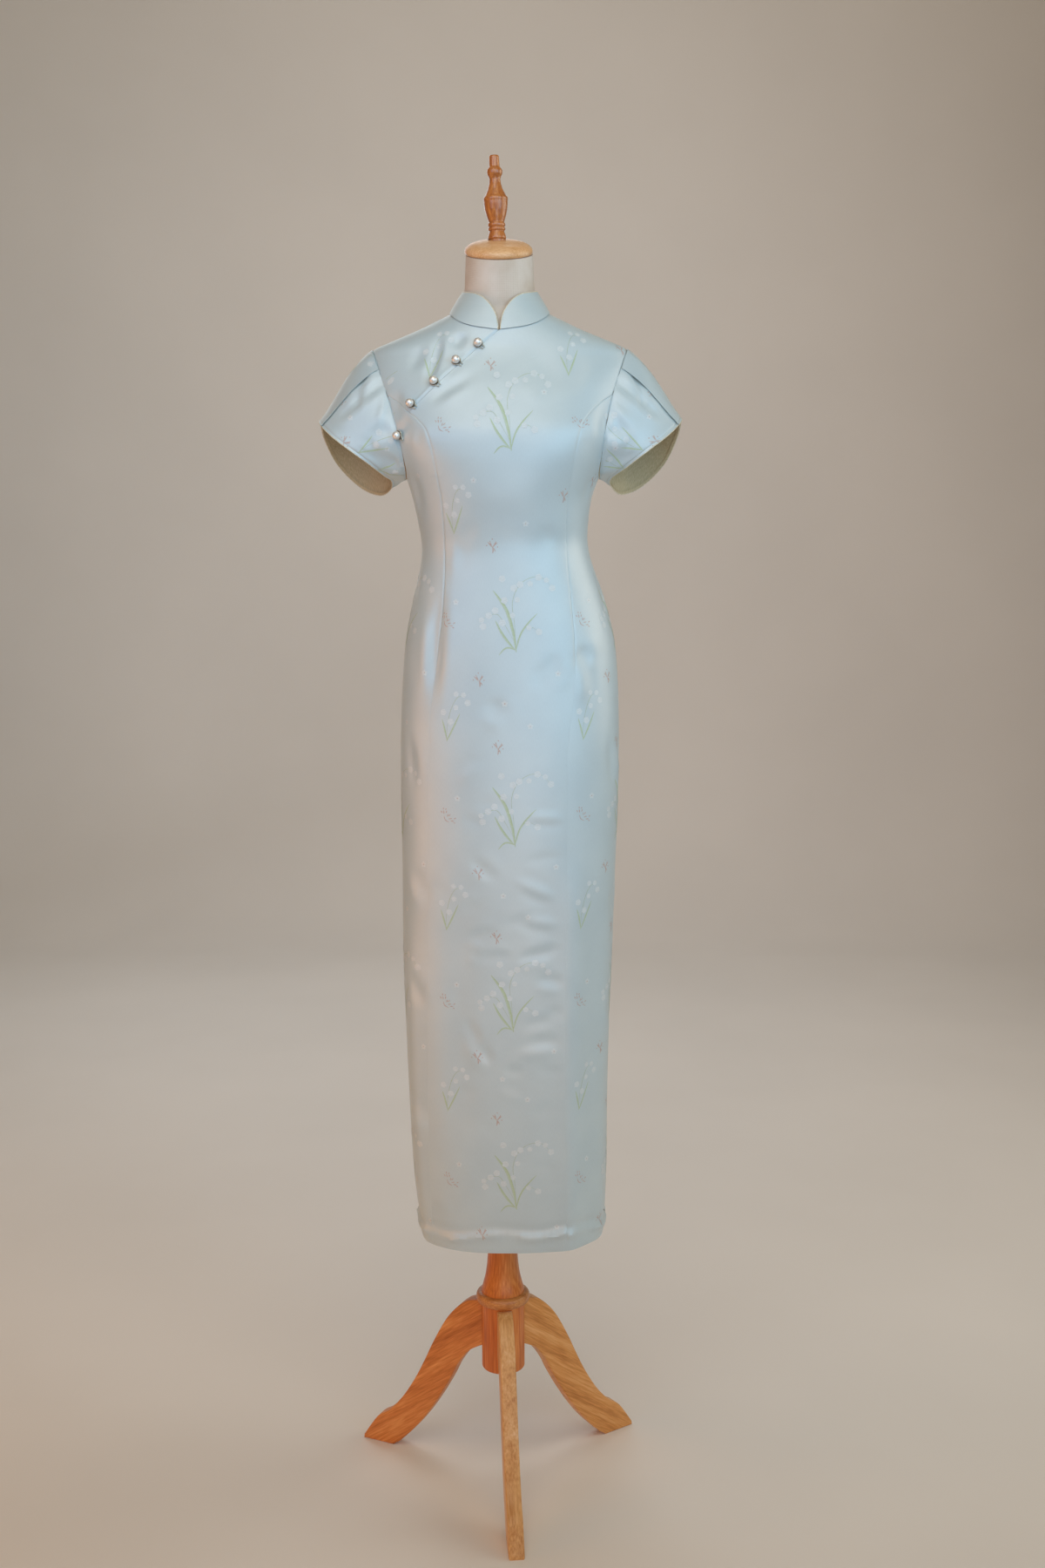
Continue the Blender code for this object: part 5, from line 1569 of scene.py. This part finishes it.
# name, profile, rounding of its corners and its steps, finish, sides, foot, tip, slot and solid
TURNED = (
    ("turned_finial", FINIAL, 1.6, 6, "stained", 72, FINIAL_PLACE, FINIAL_TIP, "stained_wood", "finial"),
    ("turned_column", COLUMN, 12, 7, "pine", 96, (0, 0, 295.3), 0, "varnished_pine", "column"),
    ("turned_ring", RING, 2.2, 5, "ring pine", 96, (0, 0, 278), 0, "varnished_pine", "collar_ring"),
    ("turned_hub", HUB, 1.0, 4, "pine", 96, (0, 0, 172), 0, "varnished_pine", "hub"),
)
# distance out and height of a leg's outline, and the half thickness of its board
LEG_OUTER = (
    (193, 0), (247, 0), (246, 6), (221, 42), (199, 58), (175, 85), (152, 121), (134, 156), (118, 190),
    (98, 227), (81, 250), (60, 269), (43, 275), (28, 275),
)
LEG_INNER = (
    *((28, 204), (42, 197), (57, 186), (75, 161), (88, 135), (108, 100), (131, 65), (155, 35)),
    *((180, 9), (193, 0)),
)
LEG_HALF = 11.5


class CHEONGSAM_OT_stand(PieceOperator, bpy.types.Operator):
    """Turn the finial, column, ring and hub, and saw the three curved legs"""

    bl_idname = "cheongsam.stand"
    bl_label = "Stand"

    def make(self, context, sizes):
        for name, profile, radius, steps, wood, sides, foot, tip, slot, node in TURNED:
            curved = eased(profile, radius, steps)
            finished(lathe(name, curved, finish(wood), sides, foot, tip=tip), slot, node)
        for number, (turn, *_) in enumerate(LEGS, 1):
            finished(self.leg(number, math.radians(turn)), "varnished_pine", f"leg_{number}")

    @staticmethod
    def leg(number, angle):
        """A board sawn to the leg's curve, its edges eased, hollowed to sit round the hub."""
        upper, lower = smooth_line(LEG_OUTER[2:-1], 5), smooth_line(LEG_INNER[:-1], 5)
        outline = [*LEG_OUTER[:2], *upper, LEG_OUTER[-1], *lower]
        ahead = Vector((math.sin(angle), -math.cos(angle), 0))
        across = Vector((-ahead.y, ahead.x, 0))
        tool = bmesh.new()
        places = [ahead * x + Vector((0, 0, z)) - across * LEG_HALF + Vector(AXIS) for x, z in outline]
        face = tool.faces.new([tool.verts.new(place * 0.001) for place in places])
        grown = bmesh.ops.extrude_face_region(tool, geom=[face])
        moved = [item for item in grown["geom"] if isinstance(item, bmesh.types.BMVert)]
        bmesh.ops.translate(tool, vec=across * (2 * LEG_HALF * 0.001), verts=moved)
        bmesh.ops.recalc_face_normals(tool, faces=tool.faces)
        rims = []
        for edge in tool.edges:
            corners = sorted(len(f.verts) for f in edge.link_faces)
            if corners[0] == 4 < corners[1]:
                rims.append(edge)
        bmesh.ops.bevel(
            tool, geom=rims, offset=0.0021, segments=3, profile=0.5, affect="EDGES", clamp_overlap=True
        )
        mesh = bpy.data.meshes.new(f"sawn_leg_{number}")
        tool.to_mesh(mesh)
        tool.free()
        mesh.materials.append(finish(f"leg {number}"))
        seat = lathe("seat", [(33.3, 120), (33.3, 320)], finish("pine"), 96)
        made = cut(linked(mesh.name, mesh), seat)
        made.data.shade_smooth()
        made.data.set_sharp_from_angle(angle=math.radians(32))
        return made


# ---------------------------------------------------------------- woven figures

# Each figure is drawn flat, in millimetres, with its foot at (0, 0) and its growth upwards. Each of
# its shapes lies a LAYER over the one before.
LAYER = 0.012
GRAZING = -0.12  # a figure is left off where the cloth turns further away than this cosine
LONGEST_FIGURE_EDGE = 14
RAY = 2.6  # length of the ray that looks for the cloth, in times the height it starts from


def ribbon(line, width, tone, second=None, steps=5):
    """A blade or stem along a line: (points, faces, finishes). Its width swells and dies away."""
    line = smooth_line(line, steps)
    along = np.gradient(line, axis=0)
    aside = unit(np.stack([-along[:, 1], along[:, 0]], -1))
    t = np.linspace(0, 1, len(line))
    half = (width / 2 * np.sin(np.pi * np.clip(t * 0.93 + 0.05, 0, 1)) ** 0.75)[:, None]
    points = np.concatenate([line - aside * half, line, line + aside * half])
    n = len(line)
    starts = [*range(n - 1), *range(n, 2 * n - 1)]
    faces = [(k, k + 1, n + k + 1, n + k) for k in starts]
    return points, faces, [tone] * (n - 1) + [second or tone] * (n - 1)


def rosette(x, y, radius, lobes, depth, tone, heart=None, turn=0.0, core=0.36):
    """A little lobed bloom with a heart of its own colour."""
    angle = np.linspace(0, math.tau, lobes * 4, endpoint=False)
    size = radius * (1 - depth * (0.5 - 0.5 * np.cos(lobes * angle)))
    rim = np.stack([np.cos(angle + turn) * size, np.sin(angle + turn) * size], -1)
    points = np.concatenate([rim + (x, y), rim * core + (x, y), [(x, y)]])
    n = len(angle)
    faces = [(k, (k + 1) % n, n + (k + 1) % n, n + k) for k in range(n)]
    faces += [(n + k, n + (k + 1) % n, 2 * n) for k in range(n)]
    return points, faces, [tone] * n + [heart or tone] * n


def bell(x, y, size, lean):
    return rosette(x, y, size, 5, 0.16, "bell", None, lean, 0.2)


def large_spray():
    """Lily of the valley: blades from one foot, and bells hung on arching stems."""
    parts = [
        ribbon([(0, 0), (-1, 34), (-4, 66), (6, 90), (24, 101), (42, 98), (50, 86)], 0.8, "stem", steps=4),
        ribbon([(-2, 12), (-13, 32), (-24, 49), (-38, 48), (-47, 40)], 0.8, "stem", steps=4),
        ribbon([(2, 10), (8, 24), (18, 33), (31, 27)], 0.8, "stem", steps=4),
        ribbon([(0, 0), (-9, 3), (-16, 1), (-23, -7)], 2.4, "leaf", "blade"),
        ribbon([(1, 1), (7, 21), (17, 36), (31, 51)], 2.5, "blade", "leaf"),
        ribbon([(-1, 0), (-11, 12), (-20, 25), (-28, 41)], 3.5, "leaf", "blade"),
        ribbon([(1, -3), (-3, 24), (-11, 52), (-20, 68), (-31, 83)], 4.5, "leaf", "blade"),
    ]
    places = (
        *((33, 101), (21, 92), (7, 91), (-2, 86), (44, 97), (52, 86), (-15, 69), (3, 70), (-28, 55)),
        *((-37, 48), (-47, 42), (-45, 33), (-18, 38), (19, 31), (33, 25), (-18, 99), (-4, 48)),
    )
    return parts + [bell(x, y, 5.2 - 1.0 * (k % 3 == 1), 0.4 * k) for k, (x, y) in enumerate(places)]


def small_spray():
    """Two crossed blades and a few bells on a thin stem."""
    parts = [
        ribbon([(0, 4), (2, 24), (8, 46), (17, 60), (27, 60)], 0.8, "stem", steps=4),
        ribbon([(1, -2), (-2, 10), (-4, 18), (-7, 28)], 2.5, "leaf", "blade"),
        ribbon([(0, -3), (7, 10), (12, 20), (20, 37)], 2.5, "blade", "leaf"),
    ]
    places = ((-5, 38), (14, 45), (6, 25), (14, 64), (31, 52), (25, 63))
    return parts + [bell(x, y, 4.9 - 0.8 * (k % 2), 0.5 * k) for k, (x, y) in enumerate(places)]


def moth():
    """A small moth, drawn in short separate strokes: one pair of wings up, one to the side."""
    parts = [ribbon([(-6, 2), (-4, -4), (2, -7)], 1.2, "rose", steps=3)]
    for x, y, across, up in (
        *((-6, 5, -1, 5), (-9, 6, -2, 3), (-3, 6, 1, 4), (-7, 11, 0, 3), (-4, 11, 2, 2)),
        *((1, -2, 5, 1), (4, -5, 5, 0), (1, 2, 3, 3), (9, -2, 3, 2), (8, -7, 3, -1), (-1, 1, 1, 4)),
    ):
        line = [(x, y), (x + across * 0.5 + 0.3, y + up * 0.5), (x + across, y + up)]
        parts.append(ribbon(line, 1.5, "rose", "gold", steps=3))
    return parts


def sprig():
    """A small flower seen from its side: two split petals up, one down, and loose dots."""
    petals = (
        *((2.0, (-1, 0), (-3, 3), (-7, 7)), (1.5, (-1, 1), (-3, 6), (-4, 9)), (2.0, (1, 0), (3, 3), (7, 6))),
        *((1.4, (1, 1), (4, 5), (5, 8)), (2.2, (0, 1), (1, -4), (0, -9)), (1.3, (1, -1), (3, -4), (4, -7))),
    )
    parts = [ribbon(line, width, "rose", "gold", steps=3) for width, *line in petals]
    return parts + [rosette(x, y, 0.9, 3, 0.1, "rose") for x, y in ((-8, 2), (7, 0), (0, 11))]


def bloom():
    return [rosette(0, 0, 4.8, 5, 0.34, "bell", "gold", 0.3, 0.22)]


FIGURES = {"large": large_spray, "small": small_spray, "moth": moth, "sprig": sprig, "bloom": bloom}
# One repeat of the cloth, 196 mm wide and 276 mm high, from the foot of its large spray.
REPEAT_WIDE, REPEAT_HIGH, PATTERN_X, PATTERN_FOOT = 196.0, 276.0, 23.0, 460.0
REPEAT = (
    ("large", 0, 0, 0), ("small", -98, 150, 0), ("moth", -96, 38, 0), ("sprig", -24, 138, -3),
    ("sprig", -51, -43, 6), ("bloom", 60, -34, 0), ("bloom", 21, 169, 0), ("bloom", -15, 201, 0),
    ("bloom", -82, 66, 0),
)
# The same figures where the cloth of the upper front was cut: over this half width, from this height
# up, with a little more or less for some figures.
UPPER_HALF, UPPER_FROM, UPPER_MORE = 128, 1415, {"large": 14, "moth": -30, "small": -30}
FIGURES_TO, FRONT_X = 1742, 15
UPPER = (
    ("large", 20, 1564, 0), ("small", -92, 1664, 6), ("small", 99, 1666, 2), ("moth", -72, 1594, 0),
    ("moth", 115, 1598, 30), ("sprig", -7, 1677, 0), ("bloom", -31, 1522, 0), ("small", -60, 1452, 0),
    ("bloom", 40, 1463, 0), ("sprig", -6, 1431, 0), ("bloom", 66, 1640, 0), ("sprig", 92, 1500, 0),
)


def pattern_places():
    """Every figure of the body: (figure, turn, height, lean). Below the waist it follows the repeat."""
    places = [(name, float(turn_at_x(x, z)), z, lean) for name, x, z, lean in UPPER]
    columns, rows = range(-3, 4), range(-1, 5)
    for column, row, (name, across, up, lean) in itertools.product(columns, rows, REPEAT):
        height = PATTERN_FOOT + row * REPEAT_HIGH + up
        across += column * REPEAT_WIDE
        in_upper = abs(across) < UPPER_HALF and height > UPPER_FROM + UPPER_MORE.get(name, 0)
        if in_upper or not HEM + 6 < height < FIGURES_TO:
            continue
        travel = across + PATTERN_X - FRONT_X
        turn = turn_after(travel, height, 25 if name == "large" and travel < 0 else 4)
        if turn is not None:
            places.append((name, turn, height, lean))
    return places


def turn_after(travel, height, margin):
    """The turn this far round the cloth from the front, or None within the margin of the centre back."""
    samples = np.linspace(0, 180, 181) * np.sign(travel)
    gone = lengths(surface(samples, float(height))[None], 1)[0]
    return None if abs(travel) > gone[-1] - margin else float(np.interp(abs(travel), gone, samples))


def laid_flat(name, middle, out, upward, lean):
    """A figure's points on a plane at the cloth, with its faces, finishes and layers."""
    upward = unit(upward - out * (upward @ out))
    aside = np.cross(upward, out)
    cosine, sine = math.cos(math.radians(lean)), math.sin(math.radians(lean))
    points, faces, names, layers, base = [], [], [], [], 0
    for number, (shape, quads, tones) in enumerate(FIGURES[name]()):
        turned = shape @ np.array([[cosine, sine], [-sine, cosine]])
        points.append(middle + turned[:, :1] * aside + turned[:, 1:] * upward)
        layers += [LAYER * number] * len(shape)
        faces += [tuple(base + k for k in quad) for quad in quads]
        names += tones
        base += len(shape)
    return np.concatenate(points), faces, names, layers


class Cloths:
    """The outer faces of some cloth pieces, to lay woven figures on."""

    def __init__(self, names):
        self.names, self.owners = names, []
        points, faces = [], []
        for number, name in enumerate(names):
            mesh = bpy.data.objects[name].data
            base = len(points)
            points += [vertex.co.copy() for vertex in mesh.vertices]
            outer = [polygon for polygon in mesh.polygons if polygon.material_index == 0]
            faces += [[base + k for k in polygon.vertices] for polygon in outer]
            self.owners += [number] * len(outer)
        self.tree = BVHTree.FromPolygons(points, faces)
        self.figures = {name: ([], [], []) for name in names}

    def land(self, point, ray, above, reach):
        """Where a ray meets the cloth, and on which piece, or None where it doesn't."""
        hit, normal_there, index, _ = self.tree.ray_cast(Vector(point), ray, reach * RAY * 0.001)
        if hit is None or normal_there.dot(ray) > GRAZING:
            return None, None
        return np.array(hit + normal_there * above * 0.001) * 1000 - AXIS, self.owners[index]

    def lay(self, figure, out, lift, reach):
        """Drops a figure onto the cloth along its normal, keeping the faces that land on one piece."""
        points, faces, names, layers = figure
        ray = Vector(-out)
        starts = world(points + out * reach)
        landed = [self.land(p, ray, lift + layer, reach) for p, layer in zip(starts, layers)]
        used = {}
        for face, name in zip(faces, names):
            corners = [landed[k][0] for k in face]
            owners = {landed[k][1] for k in face}
            if len(owners) != 1 or None in owners:
                continue
            if max(np.linalg.norm(a - b) for a, b in zip(corners, corners[1:])) > LONGEST_FIGURE_EDGE:
                continue
            kept, kept_faces, kept_names = self.figures[self.names[owners.pop()]]
            for k in face:
                if (id(kept), k) not in used:
                    used[id(kept), k] = len(kept)
                    kept.append(landed[k][0])
            kept_faces.append([used[id(kept), k] for k in face])
            kept_names.append(name)

    def build(self):
        """One mesh of figures for each cloth piece."""
        keys = ("leaf", "blade", "stem", "bell", "rose", "gold")
        finishes = [finish(key) for key in keys]
        for name, (points, faces, names) in self.figures.items():
            if faces:
                tones = [keys.index(n) for n in names]
                name = name.replace("silk", "woven_figures")
                made = new_object(name, np.array(points), faces, finishes, tones)
                finished(made, "silk_satin_brocade")


BODY_CLOTHS = (
    *("silk_front_panel", "silk_yoke_right", "silk_side_right", "silk_side_left"),
    *("silk_back_left", "silk_back_right"),
)
HEMMED = tuple(name for name in BODY_CLOTHS if name != "silk_yoke_right")
# the petals in the order in which their hems are piped and sewn
PETAL_HEMS = ("front_left", "front_right", "back_left", "back_right")


class CHEONGSAM_OT_figures(PieceOperator, bpy.types.Operator):
    """Weave the sprays, moths and blossoms into the cloth"""

    bl_idname = "cheongsam.figures"
    bl_label = "Woven figures"

    def make(self, context, sizes):
        up = np.array([0.0, 0.0, 1.0])
        body = Cloths(BODY_CLOTHS)
        for name, turn, height, lean in pattern_places():
            middle, out = surface(turn, height), normal(turn, height)
            body.lay(laid_flat(name, middle, out, up, lean), out, sizes.figure_lift, 30.0)
        body.build()
        for side, behind, petal in PETALS:
            points, out, turns, _ = petal_grid(side, behind)
            last = len(points) - 1
            sleeve = Cloths([f"silk_sleeve_{petal}"])
            for name, column, row, lean in SLEEVE_FIGURES:
                c = int(np.argmin(np.abs(turns[0] - column * (-1 if behind else 1))))
                r = int(row * last)
                grain = unit(points[max(r - 3, 0), c] - points[min(r + 3, last), c])
                flat = laid_flat(name, points[r, c], out[r, c], grain, lean + side * 8)
                sleeve.lay(flat, out[r, c], sizes.figure_lift, 22.0)
            sleeve.build()


# turn round the sleeve, share of the way down it, lean
SLEEVE_FIGURES = (
    ("small", 96, 0.72, 8), ("small", 132, 0.9, -6), ("bloom", 60, 0.5, 0), ("sprig", 74, 0.82, 10),
    ("moth", 30, 0.45, 0), ("bloom", 10, 0.72, 0), ("small", 4, 0.42, 4), ("bloom", 112, 0.3, 0),
)


def row_at(name, distance, from_start):
    """Places across a cloth piece, and the ways out of it there, this far along its columns."""
    outer, out = DRAWN[name]
    if not from_start:
        outer, out = outer[::-1], out[::-1]
    travel = lengths(outer, 0).T
    away = np.broadcast_to(distance, len(travel))
    row, side = (
        np.array([
            [np.interp(d, t, grid[:, c, k]) for k in range(3)]
            for c, (d, t) in enumerate(zip(away, travel))
        ])
        for grid in (outer, out)
    )
    return row, unit(side)


class CHEONGSAM_OT_piping(PieceOperator, bpy.types.Operator):
    """Run piping round the rim of the collar and the hems of the petals"""

    bl_idname = "cheongsam.piping"
    bl_label = "Piping"

    def make(self, context, sizes):
        cord = cord_tree()
        outer, out = DRAWN["silk_collar"]
        middle = outer - out * 0.65
        ends = (middle[:-1, 0], middle[-1], middle[-2::-1, -1])
        inner = (middle[:-1, 2], middle[-3], middle[-2::-1, -3])
        beyond = unit(np.concatenate([end - near for end, near in zip(ends, inner)]))
        numbers = {"Radius": sizes.piping_radius * 0.001, "Step": 0.0015, "Sides": 10}
        rim = np.concatenate(ends) + beyond * 0.35
        made = along_line("collar_piping", rim, cord, numbers, finish("piping"))
        finished(made, "loop_cord")
        numbers = {"Radius": sizes.piping_radius * 0.00072, "Step": 0.0015, "Sides": 8}
        for petal in PETAL_HEMS:
            outer, out = DRAWN[f"silk_sleeve_{petal}"]
            beyond = unit(outer[-1] - outer[-3])
            line = outer[-1] - out[-1] * sizes.shell / 2 + beyond * 0.2
            name = f"piping_sleeve_{petal}"
            finished(along_line(name, line, cord, numbers, finish("piping")), "loop_cord")


class CHEONGSAM_OT_stitches(PieceOperator, bpy.types.Operator):
    """Sew the stitches that show along the hems"""

    bl_idname = "cheongsam.stitches"
    bl_label = "Stitches"

    def make(self, context, sizes):
        self.tree, thick = stitch_tree(), sizes.stitch_radius * 0.001
        pitch = sizes.stitch_pitch * 0.001
        for seed, petal in enumerate(PETAL_HEMS, 5):
            line = self.over(f"silk_sleeve_{petal}", 4.2, False, 0.1)
            self.sew(f"stitches_sleeve_{petal}", line, pitch, 0.7 * pitch, 2 * thick, seed)
        for number, name in enumerate(HEMMED):
            across = lengths(DRAWN[name][0][:1], 1)[0]
            wavy = sizes.hem_depth + 1.5 + 2.5 * np.sin(across / 60 + number)
            line = self.over(name, wavy, True, 0.06)
            name = name.replace("silk", "hem_stitches")
            self.sew(name, line, 0.0075, 0.0013, 1.8 * thick, 25 + number)

    @staticmethod
    def over(name, distance, from_start, lift):
        row, side = row_at(name, distance, from_start)
        return row + side * lift

    def sew(self, name, line, step, long, thick, seed):
        numbers = {"Step": step, "Length": long, "Thickness": thick, "Seed": seed}
        finished(along_line(name, line, self.tree, numbers, finish("thread")), "loop_cord")


# width, length and area of the cut of each cloth piece, in metres, and what it hangs from
CUTS = {
    "silk_front_panel": (0.272, 1.40, 0.286, "hung", ["linen_torso"]),
    "silk_yoke_right": (0.17, 0.27, 0.0185, "hung", ["linen_torso"]),
    "silk_side_right": (0.118, 1.26, 0.114, "hung", ["linen_torso"]),
    "silk_side_left": (0.138, 1.26, 0.146, "hung", ["linen_torso"]),
    "silk_back_left": (0.231, 1.39, 0.286, "hung", ["linen_torso"]),
    "silk_back_right": (0.231, 1.39, 0.286, "hung", ["linen_torso"]),
    "silk_collar": (0.462, 0.05, 0.0141, "draped", ["silk_back_left", "silk_back_right"]),
    "silk_sleeve_front_right": (0.321, 0.136, 0.0254, "hung", ["silk_yoke_right", "silk_back_right"]),
    "silk_sleeve_back_right": (0.3125, 0.136, 0.0284, "hung", ["silk_yoke_right", "silk_back_right"]),
    "silk_sleeve_front_left": (0.32, 0.136, 0.0248, "hung", ["silk_front_panel", "silk_back_left"]),
    "silk_sleeve_back_left": (0.311, 0.136, 0.0277, "hung", ["silk_front_panel", "silk_back_left"]),
}


class CHEONGSAM_OT_cloth(PieceOperator, bpy.types.Operator):
    """Go through the cut of each cloth piece and list what is woven into it and sewn on it; nothing is kept
    """

    bl_idname = "cheongsam.cloth"
    bl_label = "Cuts of the cloth"

    def make(self, context, sizes):
        for name, (width, long, area, held, carriers) in CUTS.items():
            words = ("woven_figures", "piping", "stitches", "hem_stitches")
            extras = [name.replace("silk", word) for word in words]
            if name == "silk_collar":
                extras.append("collar_piping")


class CHEONGSAM_PT_dress(bpy.types.Panel):
    """Sizes, colours and the steps that build the dress"""

    bl_label = "Cheongsam"
    bl_idname = "CHEONGSAM_PT_dress"
    bl_space_type = "VIEW_3D"
    bl_region_type = "UI"
    bl_category = "Cheongsam"

    def draw(self, context):
        for group in (context.scene.dress_sizes, context.scene.dress_colours, context.scene.dress_stage):
            box = self.layout.box()
            for name in group.__annotations__:
                box.prop(group, name)
        for operator in OPERATORS:
            self.layout.operator(operator.bl_idname)


OPERATORS = (
    CHEONGSAM_OT_stage,
    CHEONGSAM_OT_panels,
    CHEONGSAM_OT_collar,
    CHEONGSAM_OT_sleeves,
    CHEONGSAM_OT_figures,
    CHEONGSAM_OT_piping,
    CHEONGSAM_OT_stitches,
    CHEONGSAM_OT_buttons,
    CHEONGSAM_OT_form,
    CHEONGSAM_OT_stand,
    CHEONGSAM_OT_cloth,
)
GROUPS = {"dress_sizes": DressSizes, "dress_colours": DressColours, "dress_stage": StageSizes}


def register():
    for name, group in GROUPS.items():
        bpy.utils.register_class(group)
        setattr(bpy.types.Scene, name, bpy.props.PointerProperty(type=group))
    for operator in OPERATORS:
        bpy.utils.register_class(operator)
    bpy.utils.register_class(CHEONGSAM_PT_dress)


def unregister():
    bpy.utils.unregister_class(CHEONGSAM_PT_dress)
    for operator in reversed(OPERATORS):
        bpy.utils.unregister_class(operator)
    for name, group in reversed(GROUPS.items()):
        delattr(bpy.types.Scene, name)
        bpy.utils.unregister_class(group)


def main():
    register()
    for operator in OPERATORS:
        step = operator.bl_idname.split(".")[1]
        getattr(bpy.ops.cheongsam, step)()


if __name__ == "__main__":
    main()
